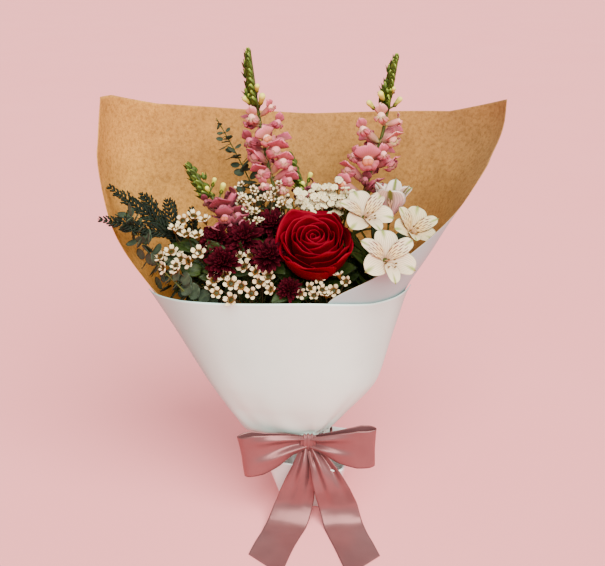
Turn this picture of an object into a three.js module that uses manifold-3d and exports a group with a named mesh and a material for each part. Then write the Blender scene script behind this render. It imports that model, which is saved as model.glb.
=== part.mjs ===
// Mixed flower bouquet: wrapped in paper, tied with a ribbon and standing in a small square holder.
// Millimetres, +Z up. The origin is the centre of the holder's underside, and the front faces -Y.
import * as THREE from 'three';
import { mergeVertices } from 'three/addons/utils/BufferGeometryUtils.js';
import Module from 'manifold-3d';

const wasm = await Module();
wasm.setup();

// Driving dimensions
const CLEAR = 0.3; // air left between pieces that touch
const HOLDER = { half: 29.4, topHalf: 44, height: 62, wall: 2.2, floor: 3, corner: 7, turn: -14 };
const NECK = { x: -3, y: -6, z: 88 }; // middle of the tie
const STEM = { pitch: 5, radius: 2, spread: 1.55, sides: 5 };
const TIE = { inner: 13.5, thick: 1.2, height: 8, drop: 2 };
const PAPER = { thick: 0.8, backShift: -1, frontShift: 3.7, frontSlack: -1, pleat: 0.8 };
const FILM = { thick: 0.6, shift: 1.25, low: 66, high: 108, halfTurn: 52 };
const RIBBON = { width: 42, thick: 0.8, bandInner: 24.8, bandHeight: 13, bandDrop: 7 };
const ROSE = { at: [-1, -50, 324], tilt: 55, leafSlim: 0.5 };
const TWIG = 0.9; // radius of the thin twigs
const SLACK = 0.06; // how far joining may move a face
const LONG_STRETCH = 45; // a rod's longer stretches are split

// Half widths of the wrap from the neck's axis, as [height, size]
const LEFT = [[66, 18.2], [97, 18.2], [101, 68], [126, 91], [163, 111], [199, 130], [235, 148.5],
  [268, 165.5], [300, 186], [320, 195.5], [337, 201], [395, 210], [450, 213]];
const RIGHT = [[66, 18.2], [97, 18.2], [101, 26], [122, 41], [147, 62], [159, 72], [250, 95], [268, 99],
  [278, 105], [301, 120], [321, 131], [342, 142], [369, 159], [385, 171], [405, 187], [424, 195.5],
  [450, 199]];
const FRONT = [[66, 18.2], [97, 18.2], [101, 22], [112, 29], [140, 43], [172, 53], [275, 76], [345, 90],
  [450, 100]];
const BACK = [[66, 18.2], [97, 18.2], [101, 25], [112, 36], [140, 54], [172, 66], [262, 88], [345, 102],
  [418, 111], [450, 114]];

// Edges of the papers, as [height, angle round the axis from +X]
const FLAP_EDGE = [[66, -87], [255, -84], [275, -75], [294, -61], [306, -52], [320, -45.5], [332, -39],
  [345, -30], [360, -12], [400, 3], [447, 10]];
const LEFT_EDGE = [[66, 267], [225, 265], [262, 204], [275, 196], [287, 194.5], [306, 193], [337, 191.5],
  [366, 188], [400, 181], [450, 169]];
const FRONT_PAPER_LEFT = [[66, 148], [110, 150], [172, 170], [268, 196]];
const FRONT_PAPER_RIGHT = [[66, 392], [110, 390], [172, 366], [268, 340]];

// Where the papers end above and below, as [angle, height]
const BACK_TOP = [[3, 448], [10, 447], [45, 425], [90, 418], [135, 433], [160, 448], [175, 450]];
const FRONT_RIM = [[170, 269], [225, 268], [270, 272], [300, 269], [320, 271], [345, 276]];
const FRONT_FOOT = [[260, 80], [281, 80], [297, 92], [312, 92], [326, 80]];
const BACK_HEIGHTS = [70, 97, 101, 126, 172, 225, 262, 275, 287, 306, 332, 366, 405, 450];
const FRONT_HEIGHTS = [80, 97, 101, 112, 126, 172, 225, 268];

const V = (x, y, z) => new THREE.Vector3(x, y, z);
const UP = V(0, 0, 1);
const FRONT_UP = V(0, -0.83, 0.56);
const rad = THREE.MathUtils.degToRad;
const lerp = THREE.MathUtils.lerp;

// Straight stretches through hand-set pairs
function profile(pairs) {
  return (z) => {
    let i = 1;
    while (i < pairs.length - 1 && z > pairs[i][0]) i += 1;
    const [z0, v0] = pairs[i - 1];
    const [z1, v1] = pairs[i];
    return lerp(v0, v1, THREE.MathUtils.clamp((z - z0) / (z1 - z0), 0, 1));
  };
}

// Solids

function signedVolume(points, faces) {
  let sum = 0;
  for (const [a, b, c] of faces) sum += points[a].dot(points[b].clone().cross(points[c])) / 6;
  return sum;
}

function geometryOf(points, faces) {
  const out = signedVolume(points, faces) > 0 ? faces : faces.map(([a, b, c]) => [a, c, b]);
  const geometry = new THREE.BufferGeometry().setFromPoints(points);
  geometry.setIndex(out.flat());
  return geometry;
}

function toSolid(geometry) {
  const bare = geometry.clone();
  bare.deleteAttribute('normal');
  bare.deleteAttribute('uv');
  const merged = mergeVertices(bare, 1e-4);
  const vertProperties = Float32Array.from(merged.attributes.position.array);
  const triVerts = Uint32Array.from(merged.index.array);
  return new wasm.Manifold(new wasm.Mesh({ numProp: 3, vertProperties, triVerts }));
}

function toGeometry(solid) {
  const mesh = solid.getMesh();
  const geometry = new THREE.BufferGeometry();
  geometry.setAttribute('position', new THREE.BufferAttribute(mesh.vertProperties, 3));
  geometry.setIndex(new THREE.BufferAttribute(mesh.triVerts, 1));
  geometry.computeVertexNormals();
  return geometry;
}

// A place on the model: local +Z along the axis, turned by spin about it
function seat(position, axis, spin = 0) {
  const turn = new THREE.Quaternion().setFromUnitVectors(UP, axis.clone().normalize());
  turn.multiply(new THREE.Quaternion().setFromAxisAngle(UP, spin));
  return new THREE.Matrix4().compose(position, turn, V(1, 1, 1));
}

// A closed skin over rings of any counts; an end closes flat, or on a point if one is given
function loft(rings, startPoint = null, endPoint = null) {
  const points = rings.flat();
  const faces = [];
  let first = 0;
  for (let k = 0; k < rings.length - 1; k += 1) {
    bridge(faces, first, rings[k].length, first + rings[k].length, rings[k + 1].length);
    first += rings[k].length;
  }
  const close = (start, n, point, flip) => {
    const fan = [];
    if (point) {
      points.push(point);
      for (let i = 0; i < n; i += 1) fan.push([start + i, start + (i + 1) % n, points.length - 1]);
    } else {
      for (let i = 1; i < n - 1; i += 1) fan.push([start, start + i, start + i + 1]);
    }
    for (const [a, b, c] of fan) faces.push(flip ? [a, c, b] : [a, b, c]);
  };
  close(0, rings[0].length, startPoint, true);
  close(first, rings[rings.length - 1].length, endPoint, false);
  return geometryOf(points, faces);
}

// Triangles between a ring of n points from a and a ring of m points from b
function bridge(faces, a, n, b, m) {
  let i = 0;
  let j = 0;
  while (i < n || j < m) {
    if (j === m || (i < n && (i + 1) / n <= (j + 1) / m)) {
      faces.push([a + i, a + (i + 1) % n, b + j % m]);
      i += 1;
    } else {
      faces.push([a + i % n, b + (j + 1) % m, b + j]);
      j += 1;
    }
  }
}

// A thin closed sheet over at(t, s), split alike on both faces; shift moves it along its normal
function sheet(at, ts, ss, thick, shift = () => 0) {
  const grid = ts.map((t) => ss.map((s) => at(t, s)));
  const clampRow = (j) => grid[THREE.MathUtils.clamp(j, 0, ts.length - 1)];
  const pick = (j, i) => clampRow(j)[THREE.MathUtils.clamp(i, 0, ss.length - 1)];
  const upper = [];
  const lower = [];
  ts.forEach((t, j) => ss.forEach((s, i) => {
    const along = pick(j + 1, i).clone().sub(pick(j - 1, i));
    const across = pick(j, i + 1).clone().sub(pick(j, i - 1));
    const normal = across.cross(along).normalize();
    const d = shift(t, s, i);
    upper.push(grid[j][i].clone().addScaledVector(normal, d + thick / 2));
    lower.push(grid[j][i].clone().addScaledVector(normal, d - thick / 2));
  }));
  const n = ss.length;
  const m = upper.length;
  const faces = [];
  for (let j = 0; j < ts.length - 1; j += 1) {
    for (let i = 0; i < n - 1; i += 1) {
      const a = j * n + i;
      faces.push([a, a + 1, a + n + 1], [a, a + n + 1, a + n]);
      faces.push([m + a, m + a + n + 1, m + a + 1], [m + a, m + a + n, m + a + n + 1]);
    }
  }
  const rim = [];
  for (let i = 0; i < n; i += 1) rim.push(i);
  for (let j = 1; j < ts.length; j += 1) rim.push(j * n + n - 1);
  for (let i = n - 2; i >= 0; i -= 1) rim.push((ts.length - 1) * n + i);
  for (let j = ts.length - 2; j > 0; j -= 1) rim.push(j * n);
  rim.forEach((a, k) => {
    const b = rim[(k + 1) % rim.length];
    faces.push([b, a, m + a], [b, m + a, m + b]);
  });
  return geometryOf([...upper, ...lower], faces);
}

// Evenly spaced values from one end to the other
function steps(count, from = 0, to = 1) {
  return Array.from({ length: count + 1 }, (_, i) => lerp(from, to, i / count));
}

// A tapering rod along a smooth path, with a ring at every point of the path and at count - 1 between
function rod(path, startRadius, endRadius, count, sides = 3) {
  const curve = new THREE.CatmullRomCurve3(path, false, 'centripetal');
  const stations = [0];
  for (let i = 1; i < path.length; i += 1) {
    const cuts = path[i].distanceTo(path[i - 1]) > LONG_STRETCH ? count : 1;
    for (let k = 1; k <= cuts; k += 1) stations.push((i - 1 + k / cuts) / (path.length - 1));
  }
  const normal = V(0.31, 0.95, 0.02);
  const rings = stations.map((t) => {
    const centre = curve.getPoint(t);
    const tangent = curve.getTangent(t);
    normal.addScaledVector(tangent, -normal.dot(tangent)).normalize();
    const binormal = tangent.clone().cross(normal);
    const r = lerp(startRadius, endRadius, t);
    return steps(sides - 1, 0, sides - 1).map((i) => {
      const angle = (i / sides) * Math.PI * 2;
      return centre.clone()
        .addScaledVector(normal, r * Math.cos(angle))
        .addScaledVector(binormal, r * Math.sin(angle));
    });
  });
  return toSolid(loft(rings));
}

// Placement: what is settled stays, and what comes later keeps clear of it

const bouquet = new THREE.Group();
const settled = [];

function boxesNear(a, b, margin) {
  return [0, 1, 2].every((k) => a.min[k] - margin < b.max[k] && b.min[k] - margin < a.max[k]);
}

function settle(owner, solid) {
  settled.push({ owner, solid, box: solid.boundingBox() });
}

// Solids of one owner are fused in the end, so they may meet
function isClear(owner, solid) {
  const box = solid.boundingBox();
  return settled.every((other) => other.owner === owner || !boxesNear(box, other.box, CLEAR)
    || other.solid.minGap(solid, CLEAR) >= CLEAR * 0.98);
}

// The first way of making some solids that keeps them clear of all that is settled, or none
function firstClear(owner, ways) {
  for (const make of ways) {
    const solids = make();
    if (solids.every((solid) => isClear(owner, solid))) return solids;
  }
  return [];
}

// Joins solids in one body; a loose scrap is dropped and a sealed hollow is filled
function fuse(solids) {
  const bodies = wasm.Manifold.union(solids).decompose();
  bodies.sort((a, b) => b.volume() - a.volume());
  return bodies[0].simplify(SLACK);
}

function place(name, solids, finish, owner = name) {
  for (const solid of solids) settle(owner, solid);
  const body = solids.length > 1 ? fuse(solids) : solids[0];
  const mesh = new THREE.Mesh(toGeometry(body), finish);
  mesh.name = name;
  bouquet.add(mesh);
}

function matte(color, roughness) {
  return new THREE.MeshStandardMaterial({ color, roughness, metalness: 0 });
}

const FINISH = {
  holder: matte('#f2f0ec', 0.45),
  twine: matte('#b59a6e', 0.9),
  film: matte('#d5cfdb', 0.2),
  kraft: matte('#b9936a', 0.85),
  white: matte('#dcdad5', 0.75),
  satin: matte('#b0787a', 0.38),
  rose: matte('#9c0f1c', 0.55),
  green: matte('#5c7442', 0.6),
  wine: matte('#4f0c1e', 0.65),
  pink: matte('#d9788c', 0.6),
  cream: matte('#efe3d6', 0.55),
  petal: matte('#f3efe6', 0.65),
  statice: matte('#e9e3d0', 0.7),
  eucalyptus: matte('#7c8c7c', 0.7),
  cypress: matte('#2e4038', 0.75),
};

// Wrap

const leftSize = profile(LEFT);
const rightSize = profile(RIGHT);
const frontSize = profile(FRONT);
const backSize = profile(BACK);
const roundness = profile([[90, 2], [160, 2.6]]);

// How far the stiff lower left corner of the paper drops outside the tie
const CORNER_DROP = 11;
const cornerDrop = profile([[97, 0], [101, 1], [101.01, 1], [128, 0]]);

// The wrap's middle surface, at an angle round the axis and a height
function wrapPoint(degrees, z) {
  const c = Math.cos(rad(degrees));
  const s = Math.sin(rad(degrees));
  const power = 2 / roundness(z);
  const a = c > 0 ? rightSize(z) : leftSize(z);
  const b = s > 0 ? backSize(z) : frontSize(z);
  const x = NECK.x + a * Math.sign(c) * Math.abs(c) ** power;
  const y = NECK.y + b * Math.sign(s) * Math.abs(s) ** power;
  return V(x, y, z - CORNER_DROP * Math.max(0, -c) * cornerDrop(z));
}

// Pleats where the paper is gathered, gone above the shoulder
const pleatDepth = profile([[97, PAPER.pleat], [114, 0]]);

function backPaper() {
  const top = profile(BACK_TOP);
  const flapAngle = profile(FLAP_EDGE);
  const leftAngle = profile(LEFT_EDGE);
  const full = BACK_HEIGHTS.at(-1);
  const at = (t, s) => {
    const z = t * full;
    const angle = lerp(flapAngle(z), leftAngle(z), (s + 1) / 2);
    return wrapPoint(angle, t === 1 ? top(angle) : z);
  };
  const shift = (t, s, i) => PAPER.backShift + pleatDepth(t * full) * (i % 2 ? 1 : -1);
  return toSolid(sheet(at, BACK_HEIGHTS.map((z) => z / full), steps(18, -1, 1), PAPER.thick, shift));
}

function frontPaper() {
  const rim = profile(FRONT_RIM);
  const foot = profile(FRONT_FOOT);
  const leftAngle = profile(FRONT_PAPER_LEFT);
  const rightAngle = profile(FRONT_PAPER_RIGHT);
  const [low, high] = [FRONT_HEIGHTS[0], FRONT_HEIGHTS.at(-1)];
  const at = (t, s) => {
    const z = lerp(low, high, t);
    const angle = lerp(leftAngle(z), rightAngle(z), (s + 1) / 2);
    return wrapPoint(angle, lerp(foot(angle), rim(angle), t));
  };
  const shift = (t, s, i) => PAPER.frontShift + PAPER.frontSlack * t
    + pleatDepth(lerp(low, high, t)) * (i % 2 ? 1 : -1);
  const ts = FRONT_HEIGHTS.map((z) => (z - low) / (high - low));
  return toSolid(sheet(at, ts, steps(16, -1, 1), PAPER.thick, shift));
}

function film() {
  const { low, high, halfTurn } = FILM;
  const at = (t, s) => wrapPoint(270 + halfTurn * s, lerp(low, high, t));
  const ts = [low, 97, 101, high].map((z) => (z - low) / (high - low));
  return toSolid(sheet(at, ts, steps(7, -1, 1), FILM.thick, () => FILM.shift));
}

// Holder: a square cup with rounded corners, wider at its mouth

function squareRing(half, z) {
  const ring = [];
  for (let corner = 0; corner < 4; corner += 1) {
    for (const step of [0, 30, 60, 90]) {
      const angle = rad(corner * 90 + step);
      const middle = rad(corner * 90 + 45);
      const inset = half - HOLDER.corner;
      const x = Math.SQRT2 * inset * Math.cos(middle) + HOLDER.corner * Math.cos(angle);
      const y = Math.SQRT2 * inset * Math.sin(middle) + HOLDER.corner * Math.sin(angle);
      ring.push(V(x, y, z).applyAxisAngle(UP, rad(HOLDER.turn)));
    }
  }
  return ring;
}

function holder() {
  const { half, topHalf, height, wall, floor } = HOLDER;
  const innerFloorHalf = lerp(half, topHalf, floor / height) - wall;
  const rings = [squareRing(half, 0), squareRing(topHalf, height),
    squareRing(topHalf - wall, height), squareRing(innerFloorHalf, floor)];
  return toSolid(loft(rings));
}

// Tie and ribbon

// A flat ring with a slightly raised middle
function collar(inner, thick, height, z, sides) {
  const ring = (radius, level) => steps(sides - 1, 0, sides - 1).map((i) => {
    const angle = (i / sides) * Math.PI * 2;
    return V(NECK.x + radius * Math.cos(angle), NECK.y + radius * Math.sin(angle), level);
  });
  const bottom = z - height / 2;
  const rings = [ring(inner, bottom), ring(inner + thick, bottom), ring(inner + thick * 1.5, z),
    ring(inner + thick, z + height / 2), ring(inner, z + height / 2)];
  const n = sides;
  const points = rings.flat();
  const faces = [];
  rings.forEach((_, k) => {
    const next = (k + 1) % rings.length;
    for (let i = 0; i < n; i += 1) {
      const j = (i + 1) % n;
      faces.push([k * n + i, k * n + j, next * n + j], [k * n + i, next * n + j, next * n + i]);
    }
  });
  return toSolid(geometryOf(points, faces));
}

// A ribbon run along a path, gathered or spread by its width, lying across the direction given
function ribbonRun(path, widths, acrossWay, skew = 0) {
  const curve = new THREE.CatmullRomCurve3(path, false, 'centripetal');
  const width = profile(widths);
  const at = (t, s) => {
    const reach = THREE.MathUtils.clamp(t + (t > 0.95 ? skew * s : 0), 0, 1);
    const tangent = curve.getTangentAt(reach);
    const across = acrossWay.clone().addScaledVector(tangent, -acrossWay.dot(tangent)).normalize();
    const point = curve.getPointAt(reach).addScaledVector(across, (s * width(t)) / 2);
    point.z = Math.max(point.z, RIBBON.thick);
    return point;
  };
  return toSolid(sheet(at, steps(8), [-1, -0.35, 0.35, 1], RIBBON.thick));
}

// Middles of the ribbon's runs, from the knot
const LEFT_LOOP = [[-6, -38, 88], [-26, -45, 88], [-52, -50, 82], [-73, -49, 77], [-77, -44, 76],
  [-71, -39, 77], [-50, -37, 80], [-26, -36.5, 85], [-6, -36, 88]];
const RIGHT_LOOP = [[-4, -38, 88], [14, -46, 89], [40, -51, 88], [62, -50, 88], [67, -45, 88],
  [62, -40, 88], [40, -38.5, 88], [14, -37, 88], [-4, -36, 88]];
const LEFT_TAIL = [[-7, -37, 84], [-10, -47, 67], [-15, -50, 42], [-21, -52, 17], [-26, -57, 4.5],
  [-31, -66, 0.9], [-41, -98, 0.8], [-50, -128, 0.8]];
const RIGHT_TAIL = [[-2, -37, 84], [11, -52, 68], [21, -57, 40], [29, -55, 17], [32, -59, 4.5],
  [35, -68, 0.9], [43, -98, 0.8], [52, -130, 0.8]];
const KNOT = { at: V(-5, -36.6, 88), deep: 5, high: 10.6, sections: [-8.5, -6, -2, 2, 6, 8.5] };
const TAIL_SKEW = 0.1; // how slanting the ends are cut

function ribbonLoop(path, across, tip) {
  const widths = [[0, 13], [0.16, 24], [0.36, tip], [0.62, tip], [0.84, 24], [1, 13]];
  return ribbonRun(path.map((p) => V(...p)), widths, across);
}

function ribbonTail(path, outer) {
  const widths = [[0, 12], [0.12, 22], [0.3, 35], [0.45, RIBBON.width], [1, RIBBON.width]];
  return ribbonRun(path.map((p) => V(...p)), widths, V(1, 0, 0), TAIL_SKEW * outer);
}

// A ten-sided pillow, narrower at its ends and with folds round it
function knot() {
  const sizes = [0.72, 0.91, 1, 0.93, 0.95, 0.67];
  const rings = KNOT.sections.map((x, k) => steps(9, 0, 9).map((i) => {
    const angle = (i / 10) * Math.PI * 2;
    const deep = KNOT.deep * sizes[k] * Math.cos(angle);
    const high = KNOT.high * sizes[k] * Math.sin(angle);
    return KNOT.at.clone().add(V(x, deep, high));
  }));
  return toSolid(loft(rings));
}

function bow() {
  return [
    knot(),
    ribbonLoop(LEFT_LOOP, V(-0.14, 0.16, 1), 48),
    ribbonLoop(RIGHT_LOOP, V(0.02, 0.14, 1), 45),
    ribbonTail(LEFT_TAIL, 1),
    ribbonTail(RIGHT_TAIL, -1),
  ];
}

function buildWrap() {
  place('holder', [holder()], FINISH.holder);
  place('stem_tie', [collar(TIE.inner, TIE.thick, TIE.height, NECK.z - TIE.drop, 12)], FINISH.twine);
  place('paper_back', [backPaper()], FINISH.kraft);
  place('film', [film()], FINISH.film);
  place('paper_front', [frontPaper()], FINISH.white);
  const { bandInner, thick, bandHeight, bandDrop } = RIBBON;
  place('ribbon_band', [collar(bandInner, thick, bandHeight, NECK.z - bandDrop, 16)], FINISH.satin);
  place('ribbon_bow', bow(), FINISH.satin);
}

// Stems: a hexagonal bundle at the tie, spread on the floor of the holder

// Each stem's cell in the bundle (hexagonal column and row), and its path above the tie
const STEMS = {
  snapdragonTallLeft: { cell: [0, 1],
    path: [[-37, 12, 345], [-47, 22, 386], [-56, 35, 435], [-64, 45, 492]] },
  snapdragonTallRight: { cell: [1, 1],
    path: [[50, 15, 345], [68, 28, 403], [75, 35, 434], [84, 45, 486]] },
  snapdragonShortLeft: { cell: [0, 0],
    path: [[-66, -4, 300], [-80, -8, 330], [-103, 5, 352], [-127, 20, 382]] },
  snapdragonShortMiddle: { cell: [0, 2],
    path: [[-3, 26, 318], [-6, 28, 345], [-14, 33, 367], [-23, 40, 389]] },
  rose: { cell: [1, -1], path: [[-1, -26, 262], [-1, -34, 288]] },
  chrysanthemum: { cell: [0, -1], path: [[-50, -20, 235], [-60, -26, 268]] },
  alstroemeria: { cell: [2, 0], path: [[60, -12, 245], [72, -14, 290]] },
  waxLeft: { cell: [-1, 0], path: [[-90, -24, 250], [-118, -28, 292]] },
  waxFront: { cell: [0, -2], path: [[-48, -44, 215], [-64, -56, 258]] },
  waxLow: { cell: [2, -2], path: [[8, -48, 215], [10, -58, 258]] },
  waxTop: { cell: [-1, 1], path: [[-44, 4, 290], [-50, -4, 325]] },
  statice: { cell: [1, 0], path: [[17, 2, 295], [20, -2, 328]] },
  eucalyptusTall: { cell: [-1, 2],
    path: [[-48, 30, 320], [-68, 38, 364], [-86, 50, 397], [-101, 60, 421]] },
  eucalyptusSide: { cell: [-1, -1],
    path: [[-92, -44, 225], [-122, -56, 268], [-152, -48, 298], [-172, -34, 322], [-186, -26, 343]] },
  cypress: { cell: [-2, 0], path: [[-112, -4, 262], [-134, -12, 308], [-170, -10, 336], [-190, -8, 350]] },
};

function bundlePlace([column, row], scale) {
  return [(column + row / 2) * STEM.pitch * scale, row * (Math.sqrt(3) / 2) * STEM.pitch * scale];
}

// From the holder's floor through the tie and along the stem's own path; bend moves its first point
function stemPath(name, bend = V(0, 0, 0)) {
  const { cell, path } = STEMS[name];
  const [fx, fy] = bundlePlace(cell, STEM.spread);
  const [tx, ty] = bundlePlace(cell, 1);
  const foot = V(fx, fy, HOLDER.floor + CLEAR * 1.6);
  const upright = V(fx, fy, HOLDER.floor + 14);
  const low = V(NECK.x + tx, NECK.y + ty, NECK.z - 8);
  const high = V(NECK.x + tx, NECK.y + ty, NECK.z + 5);
  const [first, ...rest] = path.map((point) => V(...point));
  return [foot, upright, low, high, first.add(bend), ...rest];
}

const mainStems = {};

function growMainStems() {
  for (const name of Object.keys(STEMS)) {
    const ways = bends(4).map((bend) => () => [rod(stemPath(name, bend), STEM.radius, 1.2, 2, STEM.sides)]);
    const [solid] = firstClear(name, ways);
    mainStems[name] = solid;
    settle(name, solid);
  }
}

const pathPoint = (name, index) => V(...STEMS[name].path.at(index));
const AXIS_FOOT = V(-3, 10, 190);

// The way a bloom at a place looks: away from the middle of the wrap, and a little to the front
function outward(at, toFront = 0.5) {
  return at.clone().sub(AXIS_FOOT).normalize().addScaledVector(FRONT_UP, toFront).normalize();
}

// A twig from inside a stem to the foot of a bloom, meeting the bloom along its axis
function twigPath(from, foot, axis, bend) {
  const reach = foot.distanceTo(from);
  const neck = foot.clone().addScaledVector(axis, -Math.min(10, reach * 0.3));
  const middle = from.clone().lerp(neck, 0.55).add(bend);
  return [from, middle, neck, foot];
}

// Small sideways bends to try, the straight way first
function bends(size) {
  const list = [V(0, 0, 0)];
  for (const radius of [size, size * 2]) {
    for (let k = 0; k < 6; k += 1) {
      const angle = (k / 6) * Math.PI * 2;
      list.push(V(radius * Math.cos(angle), radius * Math.sin(angle) * 0.7, 0));
    }
  }
  return list;
}

function twigWays(from, foot, axis, size = 4, radius = TWIG) {
  return bends(size).map((bend) => () => [rod(twigPath(from, foot, axis, bend), radius * 1.25, radius, 2)]);
}

// Blooms, each made at the origin with its axis along +Z

// A ring of lobes: each lobe's points are [turn within the lobe, share of the radius, height]
function lobedRing(radius, z, lobes, points) {
  const ring = [];
  for (let k = 0; k < lobes; k += 1) {
    for (const [turn, share, lift] of points) {
      const angle = ((k + turn) / lobes) * Math.PI * 2;
      ring.push(V(radius * share * Math.cos(angle), radius * share * Math.sin(angle), z + lift));
    }
  }
  return ring;
}

// A stalk that opens in a lobed star at its far end
function trumpet(root, mouth, stalk, rings, centre) {
  const length = root.distanceTo(mouth);
  const shifted = rings.map((ring) => ring.map((point) => point.clone().add(V(0, 0, length))));
  const shape = loft([roundRing(stalk, 0, 3), ...shifted], null, V(0, 0, length + centre));
  return moved(shape, seat(root, mouth.clone().sub(root)));
}

// Nested whorls of narrow petals in one skin; each whorl is [tip radius, tip height, root height]
function whorlHead(whorls, petals, footRadius) {
  const ring = (radius, z, turn, deep) => steps(petals * 2 - 1, 0, petals * 2 - 1).map((i) => {
    const angle = ((i + turn) / (petals * 2)) * Math.PI * 2;
    const r = i % 2 ? radius * deep : radius;
    return V(r * Math.cos(angle), r * Math.sin(angle), z - (i % 2 ? (radius - r) * 0.25 : 0));
  });
  const rings = [ring(footRadius, 0, 0, 1)];
  whorls.forEach(([radius, z, root], k) => {
    rings.push(ring(radius, z, k % 2, 0.7));
    rings.push(ring(radius * 0.3, root, k % 2, 1));
  });
  return loft(rings, null, V(0, 0, rings[rings.length - 1][0].z + 1.5));
}

// A curved blade; reach and rise give its spine, half its half width, cup its hollow
function blade({ reach, rise, half, cup, rows, cols, thick = 0.8, twist = 0 }) {
  const at = (t, s) => {
    const before = Math.max(0, t - 0.01);
    const after = Math.min(1, t + 0.01);
    const slope = V(reach(after) - reach(before), 0, rise(after) - rise(before)).normalize();
    const lift = cup(t) * s * s;
    const side = s * half(t);
    return V(reach(t) - slope.z * lift, side, rise(t) + slope.x * lift + twist * side);
  };
  return sheet(at, steps(rows), steps(cols, -1, 1), thick);
}

function leafBlade(length, width, sag, rows = 3, cols = 2) {
  return blade({
    reach: (t) => length * t,
    rise: (t) => -sag * length * t * t,
    half: (t) => (width / 2) * (0.22 + 0.78 * Math.sin(Math.PI * Math.min(1, t * 0.93 + 0.05)) ** 0.8),
    cup: () => width * 0.12,
    rows,
    cols,
  });
}

// A round leaf: a disc with a ridge, its root at the origin and its length along +X
function roundLeaf(radius) {
  const rim = steps(6, 0, 6).map((i) => {
    const angle = (i / 7) * Math.PI * 2 + Math.PI;
    const dish = 0.18 * radius * Math.cos(angle) ** 2;
    return V(radius * (1 + Math.cos(angle)), radius * 0.92 * Math.sin(angle), dish);
  });
  return loft([rim], V(radius, 0, -0.75), V(radius, 0, 0.55));
}

function roundRing(radius, z, sides) {
  return steps(sides - 1, 0, sides - 1).map((i) => {
    const angle = (i / sides) * Math.PI * 2;
    return V(radius * Math.cos(angle), radius * Math.sin(angle), z);
  });
}

function moved(geometry, matrix) {
  return toSolid(geometry.clone().applyMatrix4(matrix));
}

// Rose

// A petal bent round the bloom's axis: path holds three [radius, height] points, half its half width;
// one edge lies wrap inside its neighbour and the other as much outside
function cupPetal({ path, half, wrap, tip, rows, cols, thick }) {
  const curve = new THREE.QuadraticBezierCurve(...path.map(([r, z]) => new THREE.Vector2(r, z)));
  const at = (t, s) => {
    const point = curve.getPoint(t);
    const slope = curve.getTangent(t);
    const lift = wrap * s + tip * t * t;
    const r = point.x - slope.y * lift;
    const width = half * (0.1 + 0.9 * Math.sin(Math.PI * (0.03 + 0.74 * t)));
    const angle = (s * width) / Math.max(point.x, 4);
    return V(r * Math.cos(angle), r * Math.sin(angle), point.y + slope.x * lift);
  };
  return sheet(at, steps(rows), steps(cols, -1, 1), thick);
}

function rosePetals() {
  const layers = [
    { count: 2, path: [[5, 16], [10.5, 18], [8.5, 28]], half: 13, wrap: 1, tip: 0, cols: 3 },
    { count: 3, path: [[5, 11], [15, 13], [13.5, 26]], half: 15, wrap: 1, tip: -0.5, cols: 2 },
    { count: 4, path: [[5, 7], [20, 9], [20.5, 23]], half: 17, wrap: 1.1, tip: -1.5, cols: 2 },
    { count: 5, path: [[5, 4], [24, 5], [29, 17]], half: 18, wrap: 1.2, tip: -3, cols: 2 },
    { count: 5, path: [[5, 2], [25, 1.5], [36, 9]], half: 21, wrap: 1.3, tip: -3, cols: 2 },
  ];
  const petals = [];
  layers.forEach(({ count, ...shape }, k) => {
    for (let i = 0; i < count; i += 1) {
      const angle = ((i + k * 0.5) / count) * Math.PI * 2 + k * 0.4;
      const petal = cupPetal({ ...shape, rows: 2, thick: 0.9 });
      petals.push(petal.applyMatrix4(new THREE.Matrix4().makeRotationZ(angle)));
    }
  });
  const core = [[4, 0], [6.5, 3], [6.5, 20], [3, 28]].map(([r, z]) => roundRing(r, z, 5));
  petals.push(loft(core, null, V(0, 0, 26)));
  return petals;
}

function buildRose() {
  const axis = V(0, -Math.cos(rad(ROSE.tilt)), Math.sin(rad(ROSE.tilt)));
  const foot = V(...ROSE.at).addScaledVector(axis, -16);
  place('rose_bloom', rosePetals().map((petal) => moved(petal, seat(foot, axis))), FINISH.rose);
  const top = foot.clone().addScaledVector(axis, -CLEAR);
  const cup = [[1.5, -8], [4.6, -4], [4.6, -CLEAR]].map(([r, z]) => roundRing(r, z, 7));
  const parts = [mainStems.rose, moved(loft(cup), seat(foot, axis))];
  parts.push(rod([pathPoint('rose', -1), foot.clone().addScaledVector(axis, -10), top], 1.6, 1.6, 1, 5));
  for (const [spin, size, drop] of [[-0.5, 30, 10], [0.35, 26, 12], [2.6, 26, 11], [3.6, 28, 13]]) {
    const root = foot.clone().addScaledVector(axis, -drop);
    const leaf = leafBlade(size, size * ROSE.leafSlim, 0.25);
    const ways = [0, 0.25, -0.25, 0.5, -0.5].map((swing) => () => (
      [moved(leaf, seat(root, axis.clone().negate(), spin + swing))]));
    parts.push(...firstClear('rose', ways));
  }
  place('rose_stem', parts, FINISH.green, 'rose');
}

// A head of its own colour on a twig of its plant; nudges move it until it is clear
const NUDGES = [[0, 0, 0], [0, 0, 3], [0, -3, 2], [3, 0, 0], [-3, 0, 0], [0, 3, 3], [4, -2, 4], [-4, -2, 4],
  [0, -6, 3], [6, 0, 3], [-6, 0, 3], [0, 0, 8], [0, -4, -5]];

function seatHead(name, geometries, at, axis, spin, finish) {
  for (const scale of [1, 0.94, 0.88]) {
    for (const nudge of NUDGES) {
      const foot = at.clone().add(V(...nudge));
      const matrix = seat(foot, axis, spin).scale(V(scale, scale, scale));
      const solids = geometries.map((geometry) => moved(geometry, matrix));
      if (solids.every((solid) => isClear(name, solid))) {
        place(name, solids, finish);
        return foot;
      }
    }
  }
  return null;
}

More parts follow.
